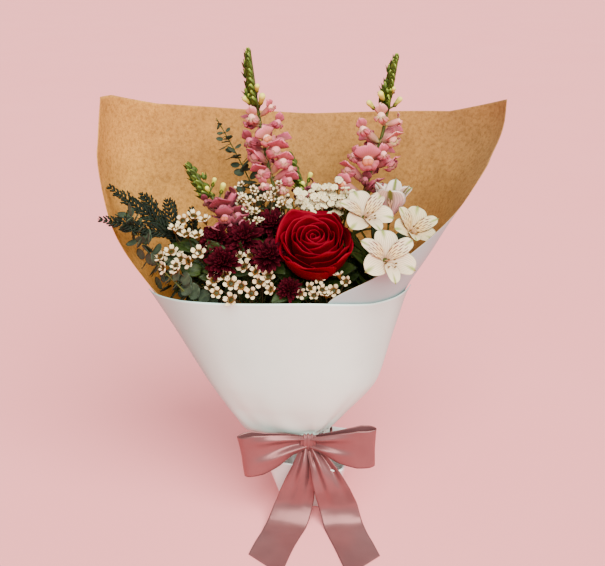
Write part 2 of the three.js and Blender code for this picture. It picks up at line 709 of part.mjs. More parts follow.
// Heads as [x, y, z, size], each a node, with the twigs that carry them added to the plant's stem
function buildHeads(plant, heads, make, finish, toFront, twigRadius) {
  const twigs = [];
  heads.forEach(([x, y, z, size, lean = [0, 0, 0]], k) => {
    const at = V(x, y, z);
    const axis = outward(at, toFront).add(V(...lean)).normalize();
    const made = make(size, k);
    at.addScaledVector(axis, -size * 0.4);
    const foot = seatHead(`${plant}_${k + 1}`, made, at, axis, k * 1.3, finish);
    if (!foot) return;
    const end = foot.clone().addScaledVector(axis, -CLEAR);
    const ways = twigWays(pathPoint(plant, -1), end, axis, 5, twigRadius);
    ways.push(...twigWays(pathPoint(plant, -2), end, axis, 6, twigRadius));
    const twig = firstClear(plant, ways);
    twigs.push(...twig);
  });
  return twigs;
}

// Chrysanthemums

const CHRYSANTHEMUMS = [[-98, -32, 320, 16], [-70, -38, 322, 18], [-90, -56, 304, 16], [-42, -18, 330, 17],
  [-44, -52, 309, 16], [-24, -72, 283, 11]];

function chrysanthemumHead(size) {
  const whorls = [[size, size * 0.36, 4], [size * 0.82, size * 0.68, 7.5], [size * 0.5, size * 0.92, 11]];
  return [whorlHead(whorls, 9, 3.5)];
}

function buildChrysanthemum() {
  const twigs = buildHeads('chrysanthemum', CHRYSANTHEMUMS, chrysanthemumHead, FINISH.wine, 0.9, 1.1);
  place('chrysanthemum_stem', [mainStems.chrysanthemum, ...twigs], FINISH.green, 'chrysanthemum');
}

// Alstroemeria

const ALSTROEMERIAS = [[49, -31, 342, 28], [68, -78, 315, 29], [80, -5, 341, 22, [0.2, 0.3, 1]],
  [100, -18, 324, 20, [0.35, 0.05, 0.65]]];

// Leaves as [x, y, z, size]
const ALSTROEMERIA_LEAVES = [[40, -34, 326, 36], [52, -44, 308, 34], [92, -34, 300, 34]];

// A whorl of tepals in one skin: their backs, their rims and their faces down to the throat
function tepalWhorl(count, size, rise, broad, turn) {
  const edge = 0.14 * broad;
  const lobe = (share) => [[-0.3, 0.5 * share, 0], [-edge, 0.88, 0], [0, 1, -1], [edge, 0.88, 0]];
  const rings = [roundRing(1.8, 0, 3), lobedRing(size * 0.45, rise * 0.62, count, lobe(1)),
    lobedRing(size, rise, count, lobe(1)), lobedRing(size * 0.5, rise * 0.62 + 1.6, count, lobe(0.9))];
  return loft(rings, null, V(0, 0, rise * 0.3)).applyMatrix4(new THREE.Matrix4().makeRotationZ(turn));
}

function alstroemeriaHead(size, k) {
  const open = k < 2;
  if (!open) return [tepalWhorl(6, size * 0.66, size * 1.4, 1.4, 0)];
  const inner = tepalWhorl(3, size * 0.95, size * 0.6 + 2, 0.9, Math.PI / 3);
  return [tepalWhorl(3, size, size * 0.6, 1.5, 0), inner];
}

function buildAlstroemeria() {
  const twigs = buildHeads('alstroemeria', ALSTROEMERIAS, alstroemeriaHead, FINISH.cream, 0.8, 1.2);
  const parts = [mainStems.alstroemeria, ...twigs];
  for (const [x, y, z, size] of ALSTROEMERIA_LEAVES) {
    parts.push(...leafTowards('alstroemeria', V(x, y, z), size, 0.34));
  }
  place('alstroemeria_stem', parts, FINISH.green, 'alstroemeria');
}

// A leaf from the plant's upper stem towards a place
function leafTowards(owner, tip, size, slim) {
  const curve = new THREE.CatmullRomCurve3(stemPath(owner), false, 'centripetal');
  const root = curve.getPointAt(0.98 - 0.1 * ((tip.x * 0.13) % 1));
  const ways = [0, 0.2, -0.2, 0.4, -0.4].map((turn) => () => {
    const along = tip.clone().sub(root).applyAxisAngle(UP, turn);
    const length = Math.min(along.length(), size * 1.6);
    const right = along.clone().normalize();
    const side = UP.clone().cross(right).normalize();
    const matrix = new THREE.Matrix4().makeBasis(right, side, right.clone().cross(side)).setPosition(root);
    return [moved(leafBlade(length, size * slim, 0.12), matrix)];
  });
  return firstClear(owner, ways);
}

// Snapdragons

const SNAPDRAGONS = {
  snapdragonTallLeft: { buds: 12, budStretch: 58, size: 8,
    florets: [[-64, 20, 429], [-69, 18, 407], [-62, 10, 394], [-56, 6, 378], [-32, 20, 424], [-37, 12, 409],
      [-32, 12, 394], [-28, 14, 380], [-24, 12, 367], [-54, 44, 414]] },
  snapdragonTallRight: { buds: 12, budStretch: 54, size: 8.5,
    florets: [[56, 26, 425], [90, 24, 424], [64, 14, 411], [85, 14, 404], [50, 6, 392], [37, 14, 392],
      [82, 16, 382], [64, 4, 374], [38, 4, 370], [88, 46, 412]] },
  snapdragonShortLeft: { buds: 8, budStretch: 36, size: 7.5,
    florets: [[-106, -10, 346], [-90, -14, 342], [-84, 4, 360], [-74, -20, 338], [-100, -22, 326],
      [-66, -6, 334]] },
  snapdragonShortMiddle: { buds: 7, budStretch: 26, size: 7,
    florets: [[-18, 24, 362], [-2, 22, 360], [-10, 18, 350], [2, 34, 354]] },
};

// A floret: a widening tube with five lips round a raised palate
function floret(root, mouth, size) {
  const lips = lobedRing(size, 0, 5, [[0, 1, -1.5], [0.5, 0.6, 0]]);
  return trumpet(root, mouth, 1.2, [roundRing(size * 0.48, -size * 0.6, 5), lips], size * 0.15);
}

// A bud: a three-sided spindle
function bud(root, axis, size) {
  const geometry = loft([roundRing(size * 0.72, size * 0.9, 3)], V(0, 0, -size * 0.4), V(0, 0, size * 2.3));
  return moved(geometry, seat(root, axis));
}

function buildSnapdragon(name, label) {
  const { buds, budStretch, size, florets } = SNAPDRAGONS[name];
  const curve = new THREE.CatmullRomCurve3(stemPath(name), false, 'centripetal');
  const length = curve.getLength();
  const parts = [mainStems[name]];
  for (let k = 0; k < buds; k += 1) {
    const back = (k + 0.3) / buds;
    const u = 1 - (budStretch * back) / length;
    const root = curve.getPointAt(u);
    const tangent = curve.getTangentAt(u);
    const radial = V(Math.cos(k * 2.4), Math.sin(k * 2.4), 0);
    const axis = tangent.clone().multiplyScalar(1.5 - back * 0.9).add(radial).normalize();
    parts.push(...firstClear(name, [() => [bud(root, axis, lerp(2.8, 5.4, back))]]));
  }
  for (const [x, y, z] of florets) {
    const ways = [[0, 0, 0], [3, -2, 2], [-3, -2, 2], [0, -5, 0], [0, 4, 4]].map((nudge) => () => {
      const mouth = V(x, y, z).add(V(...nudge));
      const u = nearestOn(curve, mouth.clone().add(V(0, 0, -5)));
      return [floret(curve.getPointAt(u), mouth, size)];
    });
    parts.push(...firstClear(name, ways));
  }
  place(label, parts, FINISH.pink, name);
}

function nearestOn(curve, point) {
  let best = 0;
  for (const u of steps(80)) {
    if (curve.getPointAt(u).distanceTo(point) < curve.getPointAt(best).distanceTo(point)) best = u;
  }
  return best;
}

// Sprays of small flowers: twigs and flowers fused

const WAX = {
  waxLeft: [[-126, -28, 323], [-115, -30, 322], [-113, -43, 309], [-130, -47, 304], [-140, -40, 309],
    [-150, -46, 306], [-138, -22, 327], [-131, -14, 333], [-120, -12, 337], [-108, -22, 336],
    [-144, -54, 298], [-131, -58, 295]],
  waxFront: [[-62, -56, 306], [-52, -62, 302], [-67, -66, 296], [-56, -68, 294], [-45, -74, 290],
    [-41, -80, 284], [-85, -70, 292], [-98, -66, 294], [-78, -73, 288], [-68, -76, 286], [-60, -82, 280],
    [-100, -76, 284], [-92, -80, 280], [-80, -84, 276]],
  waxLow: [[5, -71, 291], [-4, -78, 285], [8, -79, 284], [-12, -82, 279], [22, -70, 293], [32, -72, 290],
    [20, -80, 283]],
  waxTop: [[-72, -4, 356], [-34, -2, 357], [-67, -14, 346], [-58, -16, 343], [-30, -12, 347],
    [-56, -24, 336], [-46, -4, 354]],
};

function flowerSpray(owner, places, makeFlower) {
  const parts = [mainStems[owner]];
  const curve = new THREE.CatmullRomCurve3(stemPath(owner), false, 'centripetal');
  places.forEach(([x, y, z], k) => {
    const ways = [];
    for (const nudge of NUDGES) {
      for (const more of [0, 0.2, -0.2, 0.4]) {
        const root = curve.getPointAt(0.97 - 0.2 * ((k * 0.618 + more + 1) % 1));
        ways.push(() => [makeFlower(root, V(x, y, z).add(V(...nudge)))]);
      }
    }
    const made = firstClear(owner, ways);
    parts.push(...made);
  });
  return parts;
}

// A wax flower: five petals on a shallow cup
function waxFlower(root, mouth) {
  const petals = lobedRing(8, 0, 5, [[0, 1, 1.2], [0.5, 0.5, -0.4]]);
  return trumpet(root, mouth, TWIG, [roundRing(TWIG * 1.3, -6, 3), petals], 0.2);
}

function buildWax(owner, label) {
  place(label, flowerSpray(owner, WAX[owner], waxFlower), FINISH.petal, owner);
}

const STATICE = [[-1, -17, 341], [10, -12, 347], [20, -4, 355], [31, 0, 359], [38, -6, 353], [8, -4, 356],
  [-8, -12, 347], [17, -18, 340], [26, -10, 348], [2, -6, 352], [14, 4, 362], [-14, -6, 350]];

// A tuft of florets: a lobed dome on a thin stalk
function staticeTuft(root, mouth) {
  const rim = lobedRing(7.5, 0, 4, [[0, 1, 0], [0.5, 0.66, 0.5]]);
  const crown = lobedRing(4.6, 2, 4, [[0, 0.66, 0], [0.5, 1, 0.5]]);
  return trumpet(root, mouth, TWIG, [roundRing(TWIG * 1.3, -5, 3), rim, crown], 1);
}

function buildStatice() {
  place('statice', flowerSpray('statice', STATICE, staticeTuft), FINISH.statice, 'statice');
}

// Leafy sprigs

const EUCALYPTUS = {
  eucalyptusTall: [[-89, 47, 402, 5], [-82, 37, 384, 5], [-69, 35, 381, 5], [-77, 28, 371, 5.5],
    [-64, 22, 362, 6], [-54, 20, 354, 6], [-100, 56, 412, 4], [-96, 66, 404, 4.5], [-74, 52, 386, 5]],
  eucalyptusSide: [[-186, -22, 343, 5], [-179, -40, 325, 6], [-164, -24, 316, 6], [-164, -46, 308, 7],
    [-158, -52, 295, 7], [-150, -60, 284, 7], [-136, -44, 288, 6.5], [-131, -68, 276, 7],
    [-118, -70, 283, 6.5], [-116, -64, 264, 6.5]],
};

// A leaf round a middle, with a petiole where the stem is out of its reach
function stalkedLeaf(curve, middle, radius) {
  const root = curve.getPointAt(nearestOn(curve, middle));
  const along = middle.clone().sub(root);
  const right = along.clone().normalize();
  const side = outward(middle, 1).cross(right).normalize();
  const basis = new THREE.Matrix4().makeBasis(right, side, right.clone().cross(side));
  if (along.length() <= radius * 1.4) return [moved(roundLeaf(radius), basis.setPosition(root))];
  const start = middle.clone().addScaledVector(right, -radius);
  const petiole = rod([root, start.clone().addScaledVector(right, 1.5)], 0.8, 0.7, 1);
  return [moved(roundLeaf(radius), basis.setPosition(start)), petiole];
}

function buildEucalyptus(owner, label) {
  const curve = new THREE.CatmullRomCurve3(stemPath(owner), false, 'centripetal');
  const parts = [mainStems[owner]];
  for (const [x, y, z, radius] of EUCALYPTUS[owner]) {
    const middles = NUDGES.slice(0, 9).map((nudge) => V(x, y, z).add(V(...nudge)));
    parts.push(...firstClear(owner, middles.map((middle) => () => stalkedLeaf(curve, middle, radius))));
  }
  place(label, parts, FINISH.eucalyptus, owner);
}

// Fronds as [root, tip, half width]
const CYPRESS = [
  [[-118, -6, 280], [-162, 4, 318], 9],
  [[-134, -12, 308], [-205, -8, 365], 13],
  [[-132, -12, 306], [-206, -46, 345], 13],
  [[-136, -12, 310], [-150, 2, 352], 12],
  [[-150, -12, 322], [-192, 8, 352], 11],
  [[-120, -6, 285], [-126, 8, 345], 11],
  [[-150, -12, 322], [-186, -28, 338], 11],
];

// A flat spray of toothed foliage: a ridged rib with a tooth on each side of every step
function frond(root, tip, half, facing) {
  const along = tip.clone().sub(root);
  const side = facing.clone().cross(along).normalize();
  const up = along.clone().cross(side).normalize();
  const count = Math.round(along.length() / 7);
  const rib = (k, lift) => root.clone().addScaledVector(along, k / count)
    .addScaledVector(up, lift + 5 * Math.sin((k / count) * Math.PI));
  const points = [rib(0, 0), rib(count, 0)];
  const add = (point) => points.push(point) - 1;
  const ribs = [1, -1].map((face) => steps(count - 2, 1, count - 1).map((k) => add(rib(k, face * 0.7))));
  const faces = [];
  for (const hand of [1, -1]) {
    const inset = hand * half * 0.2;
    const notch = steps(count - 2, 1, count - 1).map((k) => add(rib(k, 0).addScaledVector(side, inset)));
    const line = [0, ...notch, 1];
    for (let k = 0; k < count; k += 1) {
      const size = half * Math.sin(Math.PI * (0.18 + 0.7 * ((k + 0.5) / count)));
      const tooth = add(rib(Math.min(k + 1.1, count + 0.3), 0).addScaledVector(side, hand * size));
      ribs.forEach((ridge, face) => {
        const spine = [0, ...ridge, 1];
        const flip = (hand === 1) === (face === 0);
        const fan = [[line[k], tooth, line[k + 1]]];
        if (spine[k] !== line[k]) fan.push([spine[k], line[k], line[k + 1]]);
        if (spine[k + 1] !== line[k + 1]) fan.push([spine[k], line[k + 1], spine[k + 1]]);
        for (const [a, b, c] of fan) faces.push(flip ? [a, c, b] : [a, b, c]);
      });
    }
  }
  return toSolid(geometryOf(points, faces));
}

function buildCypress() {
  const parts = [mainStems.cypress];
  for (const [root, tip, half] of CYPRESS) {
    const ways = [];
    for (const nudge of NUDGES) {
      for (const facing of [V(0, -0.8, 0.6), V(0.3, -0.5, 0.8), V(-0.3, -0.9, 0.3)]) {
        ways.push(() => [frond(V(...root), V(...tip).add(V(...nudge)), half, facing)]);
      }
    }
    parts.push(...firstClear('cypress', ways));
  }
  place('cypress', parts, FINISH.cypress, 'cypress');
}

buildWrap();
growMainStems();
buildRose();
buildAlstroemeria();
buildChrysanthemum();
buildSnapdragon('snapdragonTallLeft', 'snapdragon_tall_left');
buildSnapdragon('snapdragonTallRight', 'snapdragon_tall_right');
buildSnapdragon('snapdragonShortLeft', 'snapdragon_short_left');
buildSnapdragon('snapdragonShortMiddle', 'snapdragon_short_middle');
buildEucalyptus('eucalyptusTall', 'eucalyptus_tall');
buildEucalyptus('eucalyptusSide', 'eucalyptus_side');
buildWax('waxFront', 'wax_flower_front');
buildWax('waxLeft', 'wax_flower_left');
buildWax('waxLow', 'wax_flower_low');
buildWax('waxTop', 'wax_flower_top');
buildStatice();
buildCypress();

export default bouquet;
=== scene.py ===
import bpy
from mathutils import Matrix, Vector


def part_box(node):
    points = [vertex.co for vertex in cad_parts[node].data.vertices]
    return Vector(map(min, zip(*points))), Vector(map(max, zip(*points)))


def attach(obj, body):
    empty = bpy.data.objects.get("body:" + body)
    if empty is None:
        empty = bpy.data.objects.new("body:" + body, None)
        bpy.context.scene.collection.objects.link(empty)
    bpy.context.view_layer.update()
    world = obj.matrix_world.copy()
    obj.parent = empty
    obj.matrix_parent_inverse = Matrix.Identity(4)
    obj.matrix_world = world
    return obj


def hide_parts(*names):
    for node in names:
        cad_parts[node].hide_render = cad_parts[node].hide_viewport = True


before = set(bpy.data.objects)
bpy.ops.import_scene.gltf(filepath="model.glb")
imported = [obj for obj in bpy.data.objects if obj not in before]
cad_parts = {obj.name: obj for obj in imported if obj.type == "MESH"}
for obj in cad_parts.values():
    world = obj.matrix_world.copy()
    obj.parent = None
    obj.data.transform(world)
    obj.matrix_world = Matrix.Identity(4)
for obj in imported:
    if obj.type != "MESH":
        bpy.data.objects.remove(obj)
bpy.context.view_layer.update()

import math
import bpy
import numpy as np
from mathutils import Matrix

# Lengths are in millimetres until a piece is made, as in the solid model. +Z is up and -Y is the front.
MM = 0.001
NECK = (-3.0, -6.0, 88.0)  # middle of the tie
HOLDER = {"half": 29.4, "top": 44.0, "height": 62.0, "wall": 2.2, "floor": 3.0, "corner": 7.0, "turn": -14.0}
STEM_PITCH, FOOT_SPREAD = 5, 1.55  # between stems in the tie, and how far they spread in the holder
FOOT_HEIGHTS, TIE_HEIGHTS = (3.5, 17), (80, 93)  # stems stand upright between the two of each
WRAP_FOOT = 97  # the wrap opens above this height
SHARP_BELOW = 112.0  # its outline is rounded above this one
PAPER_THICK, BACK_SHIFT, FRONT_SHIFT = 0.5, -1, 3.7  # shifts are along the wrap's normal
FILM_THICK, FILM_SHIFT = 0.15, 1.25
RIBBON, RIBBON_THICK = 42.0, 0.32
RIM, INSIDE = 318, 0.98  # leaves lower than the rim keep inside this share of the wrap
NEEDLES_INSIDE = 0.86  # and needle leaves inside this one
GOLDEN = 2.39996  # turn from one petal to the next
FIFTH = 1.2566  # a fifth of a full turn
rng = np.random.default_rng(11)


# Vectors and curves

def unit(v):
    return v / np.maximum(np.linalg.norm(v, axis=-1, keepdims=True), 1e-9)


def V(*values):
    return np.array(values, float)


def round_way(angle, rise=0.0):
    return V(math.cos(angle), math.sin(angle), rise)


def smoothstep(low, high, x):
    t = np.clip((x - low) / (high - low), 0, 1)
    return t * t * (3 - 2 * t)


def profile(pairs, soft=0.0):
    """Values at heights, rounded over soft millimetres except near the neck"""
    z = np.arange(60.0, 470.0)
    value = np.interp(z, *zip(*pairs))
    if soft:
        kernel = np.exp(-0.5 * (np.arange(-40, 41) / soft) ** 2)
        rounded = np.convolve(np.pad(value, 40, mode="edge"), kernel / kernel.sum(), "valid")
        value += (rounded - value) * np.clip((z - SHARP_BELOW) / 30, 0, 1)
    return lambda height: np.interp(height, z, value)


def curve(points, count):
    """A smooth way through the points, as count + 1 evenly spaced ones"""
    p = np.array(points, float)
    p = np.vstack([2 * p[0] - p[1], p, 2 * p[-1] - p[-2]])
    knots = np.concatenate([[0], np.cumsum(np.linalg.norm(np.diff(p, axis=0), axis=1) ** 0.5)])
    fine = []
    for i in range(1, len(p) - 2):
        k = knots[i - 1:i + 3]
        t = np.linspace(k[1], k[2], 24, endpoint=i == len(p) - 3)[:, None]

        def between(a, b, low, high):
            return ((high - t) * a + (t - low) * b) / (high - low)

        a1 = between(p[i - 1], p[i], k[0], k[1])
        a2 = between(p[i], p[i + 1], k[1], k[2])
        a3 = between(p[i + 1], p[i + 2], k[2], k[3])
        b1 = between(a1, a2, k[0], k[2])
        b2 = between(a2, a3, k[1], k[3])
        fine.append(between(b1, b2, k[1], k[2]))
    return respaced(np.vstack(fine), count)


def respaced(path, count):
    length = np.concatenate([[0], np.cumsum(np.linalg.norm(np.diff(path, axis=0), axis=1))])
    wanted = np.linspace(0, length[-1], count + 1)
    return np.stack([np.interp(wanted, length, path[:, k]) for k in range(3)], -1)


def facing(position, axis, up=(0, 0, 1), spin=0.0, scale=1.0):
    """A place with local +Z along axis and local +Y as near up as can be, then turned by spin"""
    z = unit(np.array(axis, float))
    up = np.array(up, float)
    y = up - z * up.dot(z)
    if np.linalg.norm(y) < 1e-3:
        y = V(0, 1, 0) - z * z[1]
    y = unit(y)
    x = np.cross(y, z)
    c, s = math.cos(spin), math.sin(spin)
    place = np.eye(4)
    place[:3, :3] = np.column_stack([x * c + y * s, y * c - x * s, z]) * scale
    place[:3, 3] = position
    return place


# Shapes are (points, faces, paint). Paint is, for each point, how far it lies along the petal and across it,
# a draw for the copy, and a mark.

def field(rows, cols):
    """Shares along a petal from 0 to 1, and across it from -1 to 1"""
    return np.meshgrid(np.linspace(0, 1, rows), np.linspace(-1, 1, cols), indexing="ij")


def quads(index):
    a, b, c, d = index[:-1, :-1], index[:-1, 1:], index[1:, 1:], index[1:, :-1]
    return np.stack([a, b, c, d], -1).reshape(-1, 4)


def paint_for(rows, cols, mark=0.0):
    t, s = np.meshgrid(np.linspace(0, 1, rows), np.linspace(0, 1, cols), indexing="ij")
    return np.stack([t, s, np.full_like(t, 0.5), np.full_like(t, mark)], -1).reshape(-1, 4)


def normals(grid):
    return unit(np.cross(np.gradient(grid, axis=1), np.gradient(grid, axis=0)))


def skin(grid, thick, mark=0.0):
    """A thin closed solid round a grid of points; its two faces meet in a sharp rim"""
    rows, cols = grid.shape[:2]
    inside = np.zeros((rows, cols), bool)
    inside[1:-1, 1:-1] = True
    half = normals(grid) * (thick / 2 * inside)[..., None]
    upper = np.arange(rows * cols).reshape(rows, cols)
    lower = upper.copy()
    lower[inside] = rows * cols + np.arange(inside.sum())
    points = np.concatenate([(grid + half).reshape(-1, 3), (grid - half)[inside]])
    paint = paint_for(rows, cols, mark)
    paint = np.concatenate([paint, paint[inside.ravel()]])
    return points, [quads(upper), quads(lower)[:, ::-1]], paint


def slab(grid, thick):
    """A closed sheet round a grid of points, with one thickness or one for each point"""
    rows, cols = grid.shape[:2]
    half = normals(grid) * (np.asarray(thick) / 2 * np.ones((rows, cols)))[..., None]
    upper = np.arange(rows * cols).reshape(rows, cols)
    lower = upper + rows * cols
    rim = np.concatenate([upper[0, :-1], upper[:-1, -1], upper[-1, :0:-1], upper[:0:-1, 0]])
    following = np.roll(rim, -1)
    side = np.stack([following, rim, rim + rows * cols, following + rows * cols], -1)
    points = np.concatenate([(grid + half).reshape(-1, 3), (grid - half).reshape(-1, 3)])
    return points, [quads(upper), quads(lower)[:, ::-1], side], np.tile(paint_for(rows, cols), (2, 1))


def lofted(rings):
    """A closed skin over rings of one count, with flat ends"""
    rings = np.array(rings)
    rows, n = rings.shape[:2]
    index = np.arange(rows * n).reshape(rows, n)
    index = np.column_stack([index, index[:, 0]])
    t = np.repeat(np.linspace(0, 1, rows), n)
    s = np.tile(np.linspace(0, 1, n, endpoint=False), rows)
    paint = np.stack([t, s, np.full_like(t, 0.5), np.zeros_like(t)], -1)
    return rings.reshape(-1, 3), [quads(index), index[:1, -2::-1], index[-1:, :-1]], paint


def lathe(pairs, sides):
    """A round skin with radii at heights"""
    angle = np.linspace(0, 2 * math.pi, sides, endpoint=False)
    return lofted([np.stack([r * np.cos(angle), r * np.sin(angle), np.full(sides, z)], -1) for r, z in pairs])


def tube(path, radius, sides=6):
    """A round skin along a path, with a radius for each of its points"""
    path = np.asarray(path, float)
    radius = np.broadcast_to(radius, len(path))
    tangent = unit(np.gradient(path, axis=0))
    normal = V(0.31, 0.95, 0.02)
    angle = np.linspace(0, 2 * math.pi, sides, endpoint=False)[:, None]
    rings = []
    for centre, way, r in zip(path, tangent, radius):
        normal = unit(normal - way * normal.dot(way))
        rings.append(centre + r * (np.cos(angle) * normal + np.sin(angle) * np.cross(way, normal)))
    return lofted(rings)


def ball(centre, radii, rings=7, sides=9):
    angle = np.linspace(0.1, np.pi - 0.1, rings)
    points, faces, paint = lathe([(math.sin(a), -math.cos(a)) for a in angle], sides)
    return points * np.array(radii) + np.array(centre), faces, paint


def round_end(t, start, reach, power, least):
    """The width of a petal: whole up to start, then drawn in over reach"""
    return np.sqrt(np.clip(1 - ((t - start) / reach).clip(0, 1) ** power, least, 1))


def oval(t, stretch, middle, least):
    return np.sqrt(np.clip(1 - (stretch * t - middle) ** 2, least, 1))


def radial_petal(turn, out, side, z, thick):
    """A skin whose points lie out from the axis in the direction turn, aside from it, and at z"""
    c, s = math.cos(turn), math.sin(turn)
    return skin(np.stack([out * c - side * s, out * s + side * c, z], -1), thick)


def marked(shape, mark):
    """The same shape with its mark set"""
    points, faces, paint = shape
    return points, faces, np.column_stack([paint[:, :3], np.full(len(points), mark)])


def joined(shapes):
    points, faces, paint, count = [], [], [], 0
    for p, f, c in shapes:
        points.append(p)
        faces.extend(part + count for part in f)
        paint.append(c)
        count += len(p)
    return np.concatenate(points), faces, np.concatenate(paint)


def linked(name, data):
    made = bpy.data.objects.new(name, data)
    bpy.context.scene.collection.objects.link(made)
    return made


class Piece:
    """A mesh in the making: shapes, each in one of the piece's materials"""

    def __init__(self):
        self.points, self.faces, self.paint, self.slots, self.count = [], [], [], [], 0

    def add(self, shape, place=None, slot=0, draw=None):
        points, faces, paint = shape
        if place is not None:
            points = points @ place[:3, :3].T + place[:3, 3]
        paint = paint.copy()
        paint[:, 2] = rng.random() if draw is None else draw
        self.points.append(points)
        self.paint.append(paint)
        for part in faces:
            self.faces.append(part + self.count)
            self.slots.append(np.full(len(part), slot))
        self.count += len(points)

    def finish(self, name, node, slot_name, materials):
        """The object, in place of a node where one is given"""
        mesh = bpy.data.meshes.new(name)
        sizes = np.concatenate([np.full(len(part), part.shape[1]) for part in self.faces])
        loops = np.concatenate([part.ravel() for part in self.faces])
        mesh.vertices.add(self.count)
        mesh.vertices.foreach_set("co", (np.concatenate(self.points) * MM).astype(np.float32).ravel())
        mesh.loops.add(len(loops))
        mesh.loops.foreach_set("vertex_index", loops.astype(np.int32))
        mesh.polygons.add(len(sizes))
        starts = np.concatenate([[0], np.cumsum(sizes)[:-1]])
        mesh.polygons.foreach_set("loop_start", starts.astype(np.int32))
        mesh.polygons.foreach_set("material_index", np.concatenate(self.slots).astype(np.int32))
        mesh.polygons.foreach_set("use_smooth", np.ones(len(sizes), bool))
        layer = mesh.attributes.new("paint", "FLOAT_COLOR", "POINT")
        layer.data.foreach_set("color", np.concatenate(self.paint).astype(np.float32).ravel())
        mesh.update(calc_edges=True)
        mesh.validate()
        for material in materials:
            mesh.materials.append(material)
        piece = linked(name, mesh)
        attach(piece, "root")
        if node:
            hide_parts(node)
        return piece


# Materials

class Finish:
    """A procedural material on one principled shader"""

    def __init__(self, name, **sockets):
        self.material = bpy.data.materials.new(name)
        self.material.use_nodes = True
        self.nodes, self.links = self.material.node_tree.nodes, self.material.node_tree.links
        self.shader = self.nodes["Principled BSDF"]
        for socket, value in sockets.items():
            self.shader.inputs[socket.replace("_", " ")].default_value = value

    def feed(self, socket, value):
        if isinstance(value, bpy.types.NodeSocket):
            self.links.new(value, socket)
        else:
            socket.default_value = value

    def node(self, kind, inputs, **settings):
        made = self.nodes.new(kind)
        for name, value in settings.items():
            setattr(made, name, value)
        for socket, value in inputs.items():
            self.feed(made.inputs[socket], value)
        return made

    def noise(self, scale, detail=3.0, rough=0.55, stretch=(1, 1, 1), distort=0.0):
        where = self.node("ShaderNodeTexCoord", {}).outputs["Object"]
        mapped = self.node("ShaderNodeMapping", {"Vector": where, "Scale": stretch}).outputs["Vector"]
        return self.node("ShaderNodeTexNoise", {"Vector": mapped, "Scale": scale, "Detail": detail,
                                                "Roughness": rough, "Distortion": distort}).outputs["Fac"]

    def paint(self, channel):
        """One of along, across, draw and mark, as kept on the mesh"""
        layer = self.node("ShaderNodeAttribute", {}, attribute_name="paint")
        if channel == "mark":
            return layer.outputs["Alpha"]
        split = self.node("ShaderNodeSeparateColor", {"Color": layer.outputs["Color"]})
        return split.outputs[("along", "across", "draw").index(channel)]

    def ramp(self, factor, stops, smooth=False):
        """Colours at positions; a single number is a grey"""
        made = self.node("ShaderNodeValToRGB", {"Fac": factor})
        ramp = made.color_ramp
        ramp.interpolation = "EASE" if smooth else "LINEAR"
        while len(ramp.elements) < len(stops):
            ramp.elements.new(0.5)
        for element, (position, colour) in zip(ramp.elements, stops):
            element.position = position
            element.color = (*(colour if isinstance(colour, tuple) else (colour,) * 3), 1)
        return made.outputs["Color"]

    def math(self, operation, a, b=0.0, c=0.0):
        made = self.node("ShaderNodeMath", {}, operation=operation)
        for socket, value in zip(made.inputs, (a, b, c)):
            self.feed(socket, value)
        return made.outputs[0]

    def product(self, a, b):
        return self.math("MULTIPLY", a, b)

    def off_middle(self):
        return self.math("ABSOLUTE", self.math("SUBTRACT", self.paint("across"), 0.5))

    def mix(self, factor, a, b, kind="MIX"):
        made = self.node("ShaderNodeMix", {}, data_type="RGBA", blend_type=kind)
        for socket, value in zip((made.inputs[0], made.inputs[6], made.inputs[7]), (factor, a, b)):
            self.feed(socket, (*value, 1) if isinstance(value, tuple) else value)
        return made.outputs[2]

    def tinted(self, a, b, factor=1.0):
        """Colour a multiplied by b"""
        return self.mix(factor, a, b, "MULTIPLY")

    def colour(self, socket):
        self.links.new(socket, self.shader.inputs["Base Color"])

    def roughness(self, socket):
        self.links.new(socket, self.shader.inputs["Roughness"])

    def bump(self, height, strength, distance):
        inputs = {"Height": height, "Strength": strength, "Distance": distance * MM}
        made = self.node("ShaderNodeBump", inputs)
        self.links.new(made.outputs["Normal"], self.shader.inputs["Normal"])
        return self.material


# Wrap: half widths by height, and the papers' edges as angles by height. The flap's edge lies a little higher
# than in the solid model, the rest as there.

LEFT = [(66, 18.2), (97, 18.2), (101, 68), (126, 91), (163, 111), (199, 130), (235, 148.5), (268, 165.5),
        (300, 186), (320, 195.5), (337, 201), (395, 210), (450, 213)]
RIGHT = [(66, 18.2), (97, 18.2), (101, 26), (122, 41), (147, 62), (159, 72), (250, 95), (268, 99), (278, 105),
         (301, 120), (321, 131), (342, 142), (369, 159), (385, 171), (405, 187), (424, 195.5), (450, 199)]
FRONT = [(66, 18.2), (97, 18.2), (101, 22), (112, 29), (140, 43), (172, 53), (275, 76), (345, 90), (450, 100)]
BACK = [(66, 18.2), (97, 18.2), (101, 25), (112, 36), (140, 54), (172, 66), (262, 88), (345, 102),
        (418, 111), (450, 114)]
FLAP_EDGE = [
    (66, -87), (255, -86), (272, -86), (280, -85), (283, -80.6), (286, -76), (290, -71), (294.5, -66.5),
    (301, -61.5), (309, -56.5), (318, -50.5), (326, -44), (334, -38), (345, -30), (360, -12), (400, 3),
    (447, 10)]
LEFT_EDGE = [
    (66, 267), (225, 265), (262, 204), (275, 196), (287, 194.5), (306, 193), (337, 191.5), (366, 188),
    (400, 181), (450, 169)]
BACK_TOP = [(3, 448), (10, 447), (45, 425), (90, 418), (135, 433), (160, 448), (175, 450)]
FRONT_LEFT = [(66, 148), (110, 150), (172, 170), (268, 196)]
FRONT_RIGHT = [(66, 392), (110, 390), (172, 366), (268, 340)]
FRONT_RIM = [(170, 269), (225, 268), (270, 272), (300, 269), (320, 271), (345, 276)]
FRONT_FOOT = [(260, 80), (281, 80), (297, 92), (312, 92), (326, 80)]

